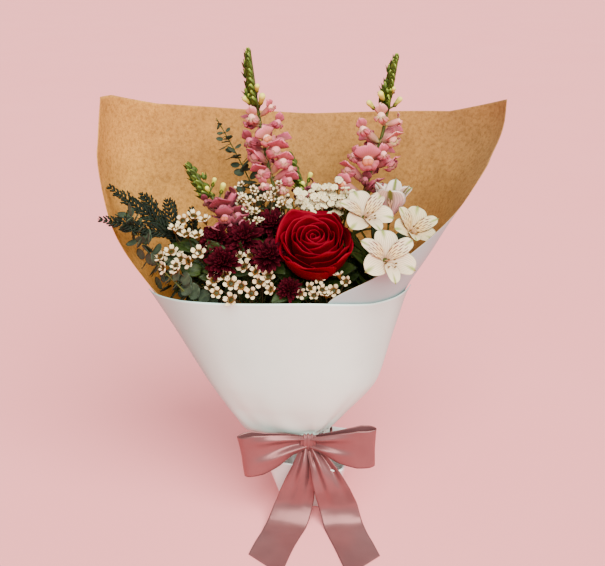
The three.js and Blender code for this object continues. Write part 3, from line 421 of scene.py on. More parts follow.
left_size, right_size = profile(LEFT, 9), profile(RIGHT, 9)
front_size, back_size = profile(FRONT, 9), profile(BACK, 9)
roundness = profile([(90, 2), (160, 2.6)])
corner_drop = profile([(WRAP_FOOT, 0), (101, 11), (128, 0)])
pleat_depth = profile([(WRAP_FOOT, 0.8), (114, 0)])


def wrap_point(degrees, z):
    """The wrap's middle surface, at an angle round the axis and a height"""
    c, s = np.cos(np.radians(degrees)), np.sin(np.radians(degrees))
    power = 2 / roundness(z)
    a = np.where(c > 0, right_size(z), left_size(z))
    b = np.where(s > 0, back_size(z), front_size(z))
    x = NECK[0] + a * np.sign(c) * np.abs(c) ** power
    y = NECK[1] + b * np.sign(s) * np.abs(s) ** power
    return np.stack([x, y, z - corner_drop(z) * np.maximum(0, -c)], -1)


def creases(degrees, z):
    """Soft folds that run up from the tie and die out, the same in every layer of paper"""
    turn = np.radians(degrees)
    near_tie = np.exp(-np.maximum(z - 100, 0) / 55)
    folds = np.sin(9 * turn + 0.6) + 0.6 * np.sin(17 * turn + 2.1) + 0.5 * np.sin(5 * turn + z / 60)
    waves = 0.8 * smoothstep(120, 300, z) * np.sin(3 * turn + z / 70) * np.sin(z / 45 + 1.3)
    return smoothstep(WRAP_FOOT, 118, z) * (0.9 * near_tie * folds + waves)


def paper(degrees, z, shift, thick):
    """A slab of paper over grids of angles and heights, moved out along its normal by shift"""
    grid = wrap_point(degrees, z)
    return slab(grid + normals(grid) * (shift + creases(degrees, z))[..., None], thick)


def heights(low, neck, high, rows):
    return np.concatenate([np.linspace(low, WRAP_FOOT, 5)[:-1], np.linspace(WRAP_FOOT, neck, 10)[:-1],
                           np.linspace(neck, high, rows)])


def back_paper():
    """The outer face of the slab is white, its inner face and rim are kraft"""
    high, level_below = 450, 405
    flap, left = profile(FLAP_EDGE, 9), profile(LEFT_EDGE, 6)
    s = np.linspace(0, 1, 181)
    z = heights(70, 128, high, 110)[:, None] + 0 * s
    angle = flap(z) + (left(z) - flap(z)) * s
    top = np.interp(angle, *zip(*BACK_TOP))
    pleats = -pleat_depth(z) * np.cos(np.pi * 18 * s)
    stretched = level_below + (z - level_below) / (high - level_below) * (top - level_below)
    z = np.where(z > level_below, stretched, z)
    points, (outer, inner, rim), paint = paper(angle, z, BACK_SHIFT + pleats, PAPER_THICK)
    piece = Piece()
    piece.add((points, [outer], paint))
    for faces in (inner, rim):
        piece.faces.append(faces)
        piece.slots.append(np.full(len(faces), 1))
    piece.finish("duplex_paper", "paper_back", "kraft_paper", [BACK_PAPER_SHADED, KRAFT_PAINTED_LIGHT_AND_SHADE])


def front_paper():
    low, high = 80, 268
    s = np.linspace(0, 1, 161)
    t = ((heights(low, 128, high, 60) - low) / (high - low))[:, None] + 0 * s
    level = low + (high - low) * t
    left, right = profile(FRONT_LEFT)(level), profile(FRONT_RIGHT)(level)
    angle = left + (right - left) * s
    rim, foot = np.interp(angle, *zip(*FRONT_RIM)), np.interp(angle, *zip(*FRONT_FOOT))
    pleats = -pleat_depth(level) * np.cos(np.pi * 16 * s)
    shift = FRONT_SHIFT - 2.2 * smoothstep(0.1, 0.8, t) + pleats
    turned = 0.35 * smoothstep(0.985, 0.995, t)
    piece = Piece()
    piece.add(paper(angle, foot + (rim - foot) * t, shift, PAPER_THICK + turned))
    piece.finish("front_sheet", "paper_front", "white_paper", [FRONT_PAPER_SHADED])


def film():
    rows = np.concatenate([np.linspace(66, WRAP_FOOT, 8)[:-1], np.linspace(WRAP_FOOT, 108, 9)])
    s = np.linspace(0, 1, 113)
    z = rows[:, None] + 0 * s
    piece = Piece()
    piece.add(paper(218 + 104 * s + 0 * z, z, FILM_SHIFT + 0.3 * np.sin(np.pi * 26 * s + z / 9), FILM_THICK))
    piece.finish("clear_film", "film", "film", [FILM])


# Holder and tie

def square_ring(half, z):
    ring = []
    c, s = math.cos(math.radians(HOLDER["turn"])), math.sin(math.radians(HOLDER["turn"]))
    for k in range(4):
        middle = round_way(math.radians(k * 90 + 45)) * math.sqrt(2) * (half - HOLDER["corner"])
        for step in np.linspace(0, 90, 9):
            x, y, _ = middle + round_way(math.radians(k * 90 + step)) * HOLDER["corner"]
            ring.append((x * c - y * s, x * s + y * c, z))
    return ring


def holder():
    half, top, height, wall, floor = (HOLDER[k] for k in ("half", "top", "height", "wall", "floor"))

    def size(z):
        return half + (top - half) * z / height

    outside = [(half - 1.2, 0), (half - 0.3, 0.35), (size(1.4), 1.4)]
    outside += [(size(z), z) for z in np.linspace(6, height - 2, 8)]
    rim = size(height)
    edge = [(rim - 0.1, height - 0.5), (rim - 0.7, height), (rim - wall + 0.7, height),
            (rim - wall, height - 0.6)]
    inside = [(size(z) - wall, z) for z in np.linspace(height - 6, floor + 2, 5)]
    inside += [(size(floor) - wall - 1, floor)]
    piece = Piece()
    piece.add(lofted([square_ring(width, z) for width, z in outside + edge + inside]))
    piece.finish("glazed_holder", "holder", "holder", [GLAZE])


def tie_ring(angle, radius, z):
    return np.stack([NECK[0] + radius * np.cos(angle), NECK[1] + radius * np.sin(angle), z + 0 * angle], -1)


def twine():
    piece = Piece()
    angle = np.linspace(0, 2 * math.pi, 73)
    for turn in range(4):
        z = NECK[2] - 4.6 + turn * 1.9 + 0.25 * np.sin(angle * 2 + turn)
        ring = tie_ring(angle, 14.35 + 0.12 * np.sin(angle * 15), z)
        piece.add(tube(ring, 0.85 + 0.07 * np.sin(angle * 60), 7))
    piece.finish("twine_turns", "stem_tie", "twine", [TWINE])


# Ribbon: the ways of its pieces, the widths that it is gathered to and the depths of its folds, by share

LEFT_LOOP = [(-6, -38, 88), (-26, -45, 88), (-52, -50, 82), (-73, -49, 77), (-77, -44, 76), (-71, -39, 77),
             (-50, -37, 80), (-26, -36.5, 85), (-6, -36, 88)]
RIGHT_LOOP = [(-4, -38, 88), (14, -46, 89), (40, -51, 88), (62, -50, 88), (67, -45, 88), (62, -40, 88),
              (40, -38.5, 88), (14, -37, 88), (-4, -36, 88)]
LEFT_TAIL = [
    (-7, -37, 84), (-10, -47, 67), (-15, -50.5, 42), (-20.5, -54, 19), (-27, -64, 5.5), (-33, -77, 1.2),
    (-41, -98, 0.8), (-50, -128, 0.8)]
RIGHT_TAIL = [(-2, -37, 84), (9, -50, 68), (20, -57, 42), (28, -58, 19), (32.5, -66, 5.5), (37, -79, 1.2),
              (43, -98, 0.8), (52, -130, 0.8)]
LOOP_WIDTHS = [(0, 13), (0.1, 20), (0.24, 33), (0.36, 40), (0.62, 40), (0.8, 27), (1, 13)]
LOOP_FOLDS = {
    "left": [(0, 2.2), (0.1, 3.2), (0.2, 2.8), (0.3, 1.4), (0.42, 0.2), (0.62, 0), (0.78, 1), (1, 1.6)],
    "right": [(0, 2.2), (0.1, 2.8), (0.22, 1.2), (0.36, 0), (0.62, 0), (0.78, 1), (1, 1.6)],
}
TAIL_WIDTHS = [(0, 11), (0.1, 20), (0.22, 31), (0.36, 39), (0.5, RIBBON), (1, RIBBON)]
TAIL_FOLDS = [(0, 2.6), (0.1, 3.6), (0.2, 2.8), (0.32, 1), (0.45, 0.1), (1, 0)]


def ribbon_run(name, path, widths, across_way, folds, skew, phase):
    """A ribbon along a path, laid on the floor where it reaches it; skew slants its end"""
    rows = 120
    middle = curve(path, rows)
    u = np.linspace(0, 1, rows + 1)
    s = np.linspace(-1, 1, 25)
    way = unit(np.gradient(middle, axis=0))
    across = np.array(across_way, float) - way * (way @ np.array(across_way, float))[:, None]
    across = unit(across)
    normal = np.cross(across, way)
    width = np.interp(u, *zip(*widths))[:, None]
    depth = np.interp(u, *zip(*folds))[:, None]
    fold = depth * (np.cos(np.pi * 1.7 * s + phase) + 0.22 * np.cos(np.pi * 4.1 * s + 2 + phase))
    slide = skew * smoothstep(0.8, 1, u)[:, None] * s
    grid = (middle[:, None] + across[:, None] * (width * s / 2)[..., None] + normal[:, None] * fold[..., None]
            + way[:, None] * slide[..., None])
    grid[..., 2] = np.maximum(grid[..., 2], 0.55)
    piece = Piece()
    piece.add(slab(grid, RIBBON_THICK))
    made = piece.finish(name, None, "satin", [SATIN])


def ribbon():
    for side, path, across, wide, phase in (("left", LEFT_LOOP, (-0.14, 0.16, 1), 46, 2.6),
                                            ("right", RIGHT_LOOP, (0.02, 0.14, 1), 43, -0.5)):
        widths = [(u, min(w * wide / 40, wide)) for u, w in LOOP_WIDTHS]
        ribbon_run(f"ribbon_loop_{side}", path, widths, across, LOOP_FOLDS[side], 0, phase)
    for side, path, skew, phase in (("left", LEFT_TAIL, 10, 2.9), ("right", RIGHT_TAIL, -10, 3.3)):
        ribbon_run(f"ribbon_tail_{side}", path, TAIL_WIDTHS, (1, 0, 0), TAIL_FOLDS, skew, phase)
    knot()
    band()


def knot():
    angle = np.linspace(0, 2 * math.pi, 40, endpoint=False)
    half = 8.3
    rings = []
    for x in np.linspace(-half, half, 30):
        end = 1 - 0.22 * abs(x / half) ** 3
        size = end * (1 + 0.085 * np.cos(x * 1.5 + 0.4 * np.sin(angle)) + 0.02 * np.cos(x * 4.7))
        rings.append(np.stack([-5 + x + 0.4 * np.sin(angle), -36.6 + 5 * size * np.cos(angle),
                               NECK[2] + 10.6 * size * np.sin(angle)], -1))
    piece = Piece()
    piece.add(lofted(rings))
    piece.finish("ribbon_knot", "ribbon_bow", "satin", [SATIN])


def band():
    half = 6.5
    angle = np.linspace(0, 2 * math.pi, 145)
    rows = np.linspace(-half, half, 14)[:, None]
    ruffle = 0.35 * np.cos(rows * 1.6 + 0.5 * np.sin(angle * 2)) + 0.15 * np.cos(angle * 24 + rows)
    radius = 25.2 + 0.25 * (1 - (rows / half) ** 2) + ruffle * 0.5
    piece = Piece()
    piece.add(slab(tie_ring(angle, radius, NECK[2] - 7 + rows), 0.6))
    piece.finish("ribbon_band_turn", "ribbon_band", "satin", [SATIN])


# Finishes of the wrap

def make_kraft():
    """Brown paper with fine fibres, with painted light that makes it yellower and lighter towards its left
    side and painted shade that darkens it towards the flap on its right
    """
    f = Finish("kraft", Roughness=0.8, Specular_IOR_Level=0.15)
    cloud = f.noise(11, 5, 0.65)
    base = f.ramp(cloud, [(0.3, (0.35, 0.155, 0.042)), (0.5, (0.50, 0.225, 0.056)),
                          (0.7, (0.60, 0.27, 0.066))])
    # Painted light and shade across the sheet: darker towards the flap on the right (across 0), lighter and
    # yellower towards the left edge (across 1)
    side = f.ramp(f.paint("across"), [(0, (0.68, 0.73, 0.95)), (0.3, (0.8, 0.79, 0.86)),
                                      (0.55, (0.9, 0.9, 0.93)), (0.8, (1.17, 1.16, 0.98)),
                                      (1, (1.13, 1.12, 1.0))])
    fibres = f.noise(1500, 4, 0.75, (1, 1, 0.5), 1.2)
    fleck = f.ramp(fibres, [(0.36, (0.62, 0.56, 0.5)), (0.5, 1), (0.68, (1.16, 1.16, 1.1))])
    mottle = f.ramp(f.noise(270, 3, 0.6), [(0.34, (0.72, 0.69, 0.62)), (0.5, 1), (0.68, (1.16, 1.18, 1.1))])
    toned = f.tinted(base, side)
    f.colour(f.tinted(f.tinted(toned, mottle, 0.85), fleck, 0.75))
    return f.bump(fibres, 0.25, 0.1)


def make_white_paper(name, across):
    """White paper with a soft sheen, and painted shade from the across stops that darkens it towards its side
    edges
    """
    f = Finish(name, Roughness=0.5, Specular_IOR_Level=0.3)
    fine = f.noise(1200, 3, 0.6)
    cloud = f.ramp(f.noise(22, 3, 0.5), [(0.3, (0.74, 0.89, 0.79)), (0.7, (0.79, 0.94, 0.84))])
    # The across stops paint shade: they darken the sheet towards its side edges, where it turns away from the
    # light
    f.colour(f.tinted(cloud, f.ramp(f.paint("across"), across, smooth=True)))
    f.roughness(f.ramp(fine, [(0.3, 0.45), (0.7, 0.58)]))
    return f.bump(fine, 0.12, 0.06)


def make_satin():
    f = Finish("satin", Metallic=0.35, Roughness=0.32, Specular_IOR_Level=1.0,
               Specular_Tint=(1, 0.42, 0.36, 1), Anisotropic=0.5, Sheen_Weight=0.15, Sheen_Roughness=0.35,
               Sheen_Tint=(1, 0.5, 0.45, 1))
    weave = f.noise(1500, 2, 0.5, (1, 1, 6))
    base = f.ramp(f.noise(30, 2), [(0.35, (0.165, 0.066, 0.069)), (0.65, (0.20, 0.080, 0.083))])
    edge = f.ramp(f.paint("across"), [(0, 0.6), (0.03, 1), (0.97, 1), (1, 0.6)])
    f.colour(f.tinted(base, edge))
    return f.bump(weave, 0.1, 0.05)


def make_glaze():
    f = Finish("glaze", Specular_IOR_Level=0.5, Coat_Weight=0.4, Coat_Roughness=0.1)
    f.colour(f.ramp(f.noise(35, 3), [(0.3, (0.78, 0.76, 0.73)), (0.7, (0.83, 0.81, 0.78))]))
    f.roughness(f.ramp(f.noise(160, 3), [(0.3, 0.3), (0.7, 0.42)]))
    return f.bump(f.noise(90, 3), 0.06, 0.3)


def make_film():
    f = Finish("film", Roughness=0.12, Transmission_Weight=0.55, IOR=1.3, Specular_IOR_Level=0.6)
    f.colour(f.ramp(f.noise(90, 3), [(0.35, (0.62, 0.58, 0.68)), (0.65, (0.78, 0.75, 0.82))]))
    return f.bump(f.noise(140, 3), 0.3, 0.5)


def make_twine():
    f = Finish("twine", Roughness=0.9)
    f.colour(f.ramp(f.noise(500, 4, 0.7, (1, 1, 3)), [(0.3, (0.30, 0.20, 0.10)), (0.7, (0.55, 0.42, 0.25))]))
    return f.bump(f.noise(900, 3), 0.6, 0.3)


KRAFT_PAINTED_LIGHT_AND_SHADE, SATIN = make_kraft(), make_satin()
# Front sheet: painted shade darkens it towards both side edges, and the middle is left at full white
FRONT_PAPER_SHADED = make_white_paper("front_paper", [(0, (0.39, 0.45, 0.46)), (0.14, (0.47, 0.53, 0.54)),
                                               (0.34, (0.86, 0.92, 0.92)), (0.55, 1),
                                               (0.8, (0.76, 0.76, 0.77)), (1, (0.5, 0.48, 0.5))])
# Back sheet's outer face: painted shade makes it greyer all over than the front sheet, and darker still
# towards both side edges
BACK_PAPER_SHADED = make_white_paper("back_paper", [(0, (0.45, 0.46, 0.51)), (0.2, (0.42, 0.44, 0.49)),
                                             (0.4, (0.75, 0.72, 0.75)), (0.8, (0.75, 0.72, 0.75)),
                                             (1, (0.5, 0.45, 0.5))])
GLAZE, FILM, TWINE = make_glaze(), make_film(), make_twine()


# Finishes of the plants

def petal_finish(name, stops, specular, sheen, tint, vary, vein, glow=0.1, draws=None):
    """A petal whose colour runs from root to rim, with fine veins along it and a draw for each copy"""
    f = Finish(name, Roughness=0.52, Specular_IOR_Level=specular, Sheen_Weight=sheen, Sheen_Roughness=0.4,
               Sheen_Tint=tint, Subsurface_Weight=glow, Subsurface_Radius=(0.004, 0.002, 0.0015),
               Subsurface_Scale=0.5)
    base = f.ramp(f.paint("along"), stops, smooth=True)
    lines = f.math("SINE", f.product(f.paint("across"), 75.0))
    veins = f.ramp(f.math("MULTIPLY_ADD", lines, 0.5, 0.5), [(0, 1 - vein), (1, 1)])
    draws = draws or [(0, (1 - 2 * vary, 1 - 2.3 * vary, 1 - 2.3 * vary)), (1, 1)]
    draw = f.ramp(f.paint("draw"), draws, smooth=True)
    toned = f.tinted(f.tinted(base, veins), draw)
    f.colour(toned)
    f.bump(f.noise(700, 3), 0.25, 0.25)
    return f, toned


def make_petal(*values):
    return petal_finish(*values)[0].material


def make_leaf(name, dark, light, roughness):
    """A leaf with a paler rib and a draw for each copy"""
    f = Finish(name, Roughness=roughness, Specular_IOR_Level=0.14, Subsurface_Weight=0.05,
               Subsurface_Radius=(0.002, 0.003, 0.001), Subsurface_Scale=0.5)
    cloud = f.ramp(f.noise(160, 4, 0.6), [(0.3, dark), (0.72, light)])
    rib = f.ramp(f.off_middle(), [(0, (1.35, 1.35, 1.2)), (0.05, 1), (0.5, 0.86)])
    draw = f.ramp(f.paint("draw"), [(0, (0.66, 0.7, 0.7)), (1, (1.1, 1.08, 1))])
    f.colour(f.tinted(f.tinted(cloud, rib), draw))
    return f.bump(f.noise(500, 4), 0.3, 0.3)


# Near black at each petal's root, red towards its rim: the rose's own deep red, with the roots darkened
# further as painted shade deep in the cup
ROSE_PETAL = make_petal("rose_petal", [(0, (0.02, 0.0004, 0.0012)), (0.5, (0.075, 0.0005, 0.004)),
                                       (0.85, (0.15, 0.0006, 0.007)), (1, (0.21, 0.001, 0.011))],
                        0.02, 0.1, (1, 0.0, 0.03, 1), 0.16, 0.05, 0.02)
# Near black at each quill's root, lighter dusky red at its tip: painted shade between the quills at the
# roots, and a tip that is partly the petals' own colour, partly painted highlight
WINE_PETAL = make_petal("wine_petal", [(0, (0.004, 0.0002, 0.0006)), (0.6, (0.028, 0.0014, 0.004)),
                                       (1, (0.082, 0.004, 0.011))],
                        0.02, 0.02, (1, 0.1, 0.2, 1), 0.2, 0.2, 0.02)
# Pink petals: the low end of the draw ramp darkens a floret to a quarter as painted shade, and its high end
# makes it paler pink
PINK_PETAL = make_petal("pink_petal", [(0, (0.42, 0.18, 0.11)), (0.3, (0.34, 0.072, 0.080)),
                                       (0.75, (0.49, 0.072, 0.118)), (1, (0.78, 0.17, 0.24))],
                        0.06, 0.06, (1, 0.4, 0.5, 1), 0.22, 0.1, 0.06,
                        [(0, (0.25, 0.26, 0.25)), (0.35, (0.46, 0.52, 0.48)), (0.55, (0.85, 0.85, 0.9)),
                         (0.75, (1.05, 1.3, 1.15)), (1, (1.3, 2.8, 1.6))])
# Palate: its draw ramp darkens it as painted shade where the floret's tone is low
PALATE = make_petal("palate", [(0, (0.50, 0.10, 0.08)), (0.5, (0.74, 0.22, 0.07)), (1, (0.66, 0.15, 0.10))],
                    0.1, 0.06, (1, 0.7, 0.5, 1), 0.06, 0.1, 0.06,
                    [(0, (0.4, 0.36, 0.45)), (0.6, (0.8, 0.8, 0.85)), (1, (1, 1.4, 1.1))])
WHITE_PETAL = make_petal("white_petal", [(0, (0.45, 0.27, 0.12)), (0.3, (0.84, 0.60, 0.33)),
                                         (1, (0.95, 0.76, 0.47))], 0.3, 0.2, (1, 1, 0.9, 1), 0.06, 0.1)
CREAM_FLORET = make_petal("cream_floret", [(0, (0.30, 0.22, 0.07)), (0.4, (0.84, 0.66, 0.36)),
                                           (1, (0.90, 0.76, 0.48))], 0.25, 0.2, (1, 1, 0.9, 1), 0.08, 0.1)
PEACH_TEPAL = make_petal("peach_tepal", [(0, (0.62, 0.14, 0.09)), (0.45, (0.80, 0.38, 0.20)),
                                         (1, (0.88, 0.62, 0.34))], 0.25, 0.2, (1, 1, 1, 1), 0.05, 0.25, 0.12)
CUP = make_leaf("wax_cup", (0.05, 0.018, 0.003), (0.22, 0.09, 0.014), 0.4)
CUP_HEART = make_leaf("wax_heart", (0.012, 0.012, 0.003), (0.07, 0.06, 0.012), 0.35)
STEM = make_leaf("stem", (0.035, 0.042, 0.009), (0.10, 0.105, 0.022), 0.5)
BROWN_TWIG = make_leaf("brown_twig", (0.03, 0.016, 0.006), (0.09, 0.05, 0.02), 0.6)
LEAF = make_leaf("leaf", (0.009, 0.016, 0.003), (0.042, 0.062, 0.012), 0.42)
NEEDLE = make_leaf("needle", (0.012, 0.016, 0.005), (0.05, 0.055, 0.015), 0.5)
GUM_LEAF = make_leaf("gum_leaf", (0.032, 0.042, 0.026), (0.068, 0.086, 0.052), 0.65)
SPIKE_LEAF = make_leaf("spike_leaf", (0.028, 0.044, 0.006), (0.095, 0.130, 0.016), 0.5)
CYPRESS_LEAF = make_leaf("cypress_leaf", (0.003, 0.005, 0.0025), (0.013, 0.019, 0.009), 0.6)


def make_tepal(name, stops, stripe=0.0):
    """A green tip, wine dashes over a yellow patch where marked, and a green stripe down the middle"""
    f, base = petal_finish(name, stops, 0.25, 0.1, (1, 1, 1, 1), 0.05, 0.3)
    off = f.off_middle()
    tip = f.math("SUBTRACT", f.paint("along"), f.product(off, 1.5))
    tinted = f.mix(f.ramp(tip, [(0.6, 0), (0.84, 0.95)]), base, (0.24, 0.27, 0.05))
    if stripe:
        band = f.ramp(off, [(0.06, 1), (0.17, 0)])
        reach = f.ramp(f.paint("along"), [(0.3, 0), (0.6, 1), (0.97, 1)])
        tinted = f.mix(f.product(f.product(band, reach), stripe), tinted, (0.12, 0.14, 0.012))
    wave = f.math("SINE", f.math("MULTIPLY_ADD", f.paint("across"), 40.0, f.product(f.noise(260, 1), 4.0)))
    dash = f.math("SINE", f.math("MULTIPLY_ADD", f.paint("along"), 26.0, f.product(f.paint("across"), 25.0)))
    zone = f.ramp(f.paint("along"), [(0.18, 0), (0.3, 1), (0.74, 1), (0.86, 0)])
    dots = f.product(f.math("GREATER_THAN", wave, 0.4), f.math("GREATER_THAN", dash, -0.5))
    marks = f.product(f.product(dots, zone), f.paint("mark"))
    patch = f.ramp(f.paint("along"), [(0.2, 0), (0.4, 1), (0.7, 0)])
    gold = f.product(f.product(patch, f.paint("mark")), 0.5)
    f.colour(f.mix(marks, f.mix(gold, tinted, (0.80, 0.46, 0.10)), (0.09, 0.006, 0.012)))
    return f.material


def make_bud():
    """Green with a lighter tip, and cream where the bud is marked as nearly open"""
    f = Finish("bud", Roughness=0.5, Specular_IOR_Level=0.2, Subsurface_Weight=0.1,
               Subsurface_Radius=(0.003, 0.003, 0.001), Subsurface_Scale=0.5)
    green = f.ramp(f.paint("along"), [(0, (0.022, 0.034, 0.004)), (0.5, (0.07, 0.10, 0.012)),
                                      (0.8, (0.14, 0.18, 0.018)), (0.97, (0.40, 0.42, 0.05))], smooth=True)
    cream = f.ramp(f.paint("along"), [(0.1, (0.10, 0.13, 0.015)), (0.4, (0.52, 0.48, 0.06)),
                                      (1, (0.80, 0.66, 0.12))], smooth=True)
    f.colour(f.mix(f.paint("mark"), green, cream))
    return f.bump(f.noise(400, 3), 0.3, 0.3)


TEPAL = make_tepal("tepal", [(0, (0.50, 0.22, 0.12)), (0.35, (0.76, 0.54, 0.34)), (1, (0.93, 0.72, 0.47))])
HALF_TEPAL = make_tepal("half_tepal", [(0, (0.70, 0.19, 0.19)), (0.45, (0.80, 0.40, 0.37)),
                                       (1, (0.84, 0.68, 0.56))], 0.9)
CREAM_TEPAL = make_tepal("cream_tepal", [(0, (0.62, 0.30, 0.14)), (0.4, (0.84, 0.58, 0.30)),
                                         (1, (0.88, 0.70, 0.40))])
BUD = make_bud()


# Stems: where each stands in the bundle, and its path above the tie, as in the solid model

STEMS = {
    "snapdragon_tall_left": ((0, 1), [(-37, 12, 345), (-47, 22, 386), (-56, 35, 435), (-64, 45, 492)]),
    "snapdragon_tall_right": ((1, 1), [(50, 15, 345), (68, 28, 403), (75, 35, 434), (84, 45, 486)]),
    "snapdragon_short_left": ((0, 0), [(-66, -4, 300), (-80, -8, 330), (-103, 5, 352), (-127, 20, 382)]),
    "snapdragon_short_middle": ((0, 2), [(-3, 26, 318), (-6, 28, 345), (-14, 33, 367), (-23, 40, 389)]),
    "rose": ((1, -1), [(-1, -26, 262), (-1, -34, 288)]),
    "chrysanthemum": ((0, -1), [(-50, -20, 235), (-60, -26, 268)]),
    "alstroemeria": ((2, 0), [(60, -12, 245), (72, -14, 290)]),
    "wax_flower_left": ((-1, 0), [(-90, -24, 250), (-118, -28, 292)]),
    "wax_flower_front": ((0, -2), [(-48, -44, 215), (-64, -56, 258)]),
    "wax_flower_low": ((2, -2), [(8, -48, 215), (10, -58, 258)]),
    "wax_flower_top": ((-1, 1), [(-44, 4, 290), (-50, -4, 325)]),
    "statice": ((1, 0), [(17, 2, 295), (20, -2, 328)]),
    "eucalyptus_tall": ((-1, 2), [(-48, 30, 320), (-68, 38, 364), (-86, 50, 397), (-101, 60, 421)]),
    "eucalyptus_side": ((-1, -1), [(-92, -44, 225), (-122, -56, 268), (-152, -48, 298), (-172, -34, 322),
                                   (-186, -26, 343)]),
    "cypress": ((-2, 0), [(-112, -4, 262), (-134, -12, 308), (-170, -10, 336), (-190, -8, 350)]),
}
FRONT_UP = V(0, -0.83, 0.56)  # towards the camera
HEART = V(-3, 10, 190)  # flowers face away from this point
ROSE_MIDDLE = V(0, -54, 340)
ROSE_ROOM = 42  # twigs and their leaves keep this far from it


def stem_way(name, count=80):
    (column, row), path = STEMS[name]
    x, y = STEM_PITCH * (column + row / 2), STEM_PITCH * row * math.sqrt(3) / 2
    bundle = [(FOOT_SPREAD * x, FOOT_SPREAD * y, z) for z in FOOT_HEIGHTS]
    bundle += [(NECK[0] + x, NECK[1] + y, z) for z in TIE_HEIGHTS]
    return curve([*bundle, *path], count)


def main_stem(piece, name, slot, low, high):
    way = stem_way(name)
    piece.add(tube(way, np.linspace(low, high, len(way)), 8), slot=slot)
    return way


def outward(at, to_front=0.5):
    return unit(unit(np.array(at, float) - HEART) + FRONT_UP * to_front)


def twig_way(start, foot, axis, straight, share, wander, count):
    """From a stem to a flower's foot, straight along the flower's axis at its end"""
    neck = foot - axis * min(straight, np.linalg.norm(foot - start) * 0.3)
    middle = start + (neck - start) * share + V(*rng.normal(0, wander, 3))
    return curve([start, middle, neck, foot], count)


def twig(start, foot, axis, low, high):
    return tube(twig_way(start, foot, axis, 10, 0.55, 1.2, 9), np.linspace(low, high, 10), 5)


def near(way, point):
    return way[np.argmin(np.linalg.norm(way - point, axis=1))]


def node_middle(name):
    low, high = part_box(name)
    return (np.array(low) + np.array(high)) / 2 / MM


def room(points):
    """How far out points lie inside the wrap: 0 on its axis, 1 on the paper"""
    x, y, z = np.moveaxis(np.asarray(points, float), -1, 0)
    a = np.where(x > NECK[0], right_size(z), left_size(z))
    b = np.where(y > NECK[1], back_size(z), front_size(z))
    power = roundness(z)
    return (np.abs((x - NECK[0]) / a) ** power + np.abs((y - NECK[1]) / b) ** power) ** (1 / power)


def fits(shape, place):
    """Whether a shape keeps inside the paper below the rims"""
    points = shape[0] @ place[:3, :3].T + place[:3, 3]
    low = points[points[:, 2] < RIM]
    return not len(low) or room(low).max() < INSIDE


# Leaves

def leaf_shape(length, width, sag=0.2, fold=0.25, rows=10, cols=7):
    """A pointed leaf from the origin along +Z, with its face towards +Y"""
    t, s = field(rows, cols)
    bow = np.sin(np.pi * np.clip(t * 0.94 + 0.03, 0, 1) ** 0.8)
    half = width / 2 * (0.06 + 0.94 * bow) * (1 - 0.9 * t ** 9)
    lift = fold * half * np.abs(s) - sag * length * t ** 2 + 0.03 * length * np.sin(7 * t) * s ** 2
    return skin(np.stack([half * s, lift, length * t * (1 - 0.25 * sag * t)], -1), 0.35)


def round_leaf(radius):
    """A round leaf from the origin along +Z, slightly cupped towards +Y"""
    t, s = field(9, 9)
    half = radius * (0.04 + 0.96 * oval(t, 2, 1.02, 0))
    lift = 0.16 * radius * (s ** 2 + (2 * t - 1) ** 2) * 0.6
    return skin(np.stack([half * s, lift, 2 * radius * t], -1), 0.4)


def scatter_leaves(piece, way, low, high, count, shape, slot, spread):
    """Leaves standing off a stem between two shares of its length, made smaller where they would not fit"""
    least = 0.3
    for k in range(count):
        i = int((low + (high - low) * (k + 0.5) / count) * (len(way) - 2))
        tangent = unit(way[i + 1] - way[i])
        axis = unit(tangent * (1 - spread) + round_way(k * 2.4) * spread)
        scale = rng.uniform(0.8, 1.15)
        while scale > least and not fits(shape, facing(way[i], axis, tangent, scale=scale)):
            scale *= 0.8
        if scale > least:
            piece.add(shape, facing(way[i], axis, tangent, scale=scale), slot)


def inner_leaves(piece, way, corner, far_corner, count, shape):
    """Leaves on thin twigs that fill the space under the blooms, between two corners"""
    for k in range(count):
        share = V((k * 0.618) % 1, (k * 0.755) % 1, (k * 0.57) % 1)
        tip = np.array(corner) + (np.array(far_corner, float) - np.array(corner)) * share
        root = near(way, tip + V(0, 0, -40))
        along = unit(tip - root)
        start = tip - along * shape[0][:, 2].max() * 0.9
        face = outward(tip, 1.5) + rng.normal(0, 0.25, 3)
        place = facing(start, along, face, scale=rng.uniform(0.8, 1.15))
        if fits(shape, place) and np.linalg.norm(tip - ROSE_MIDDLE) > ROSE_ROOM:
            piece.add(tube([root, (root + start) / 2 + V(0, 0, -2), start], (0.8, 0.7, 0.6), 4))
            piece.add(shape, place, 1)


# Rose, and its leaves as (x, y, z, size)

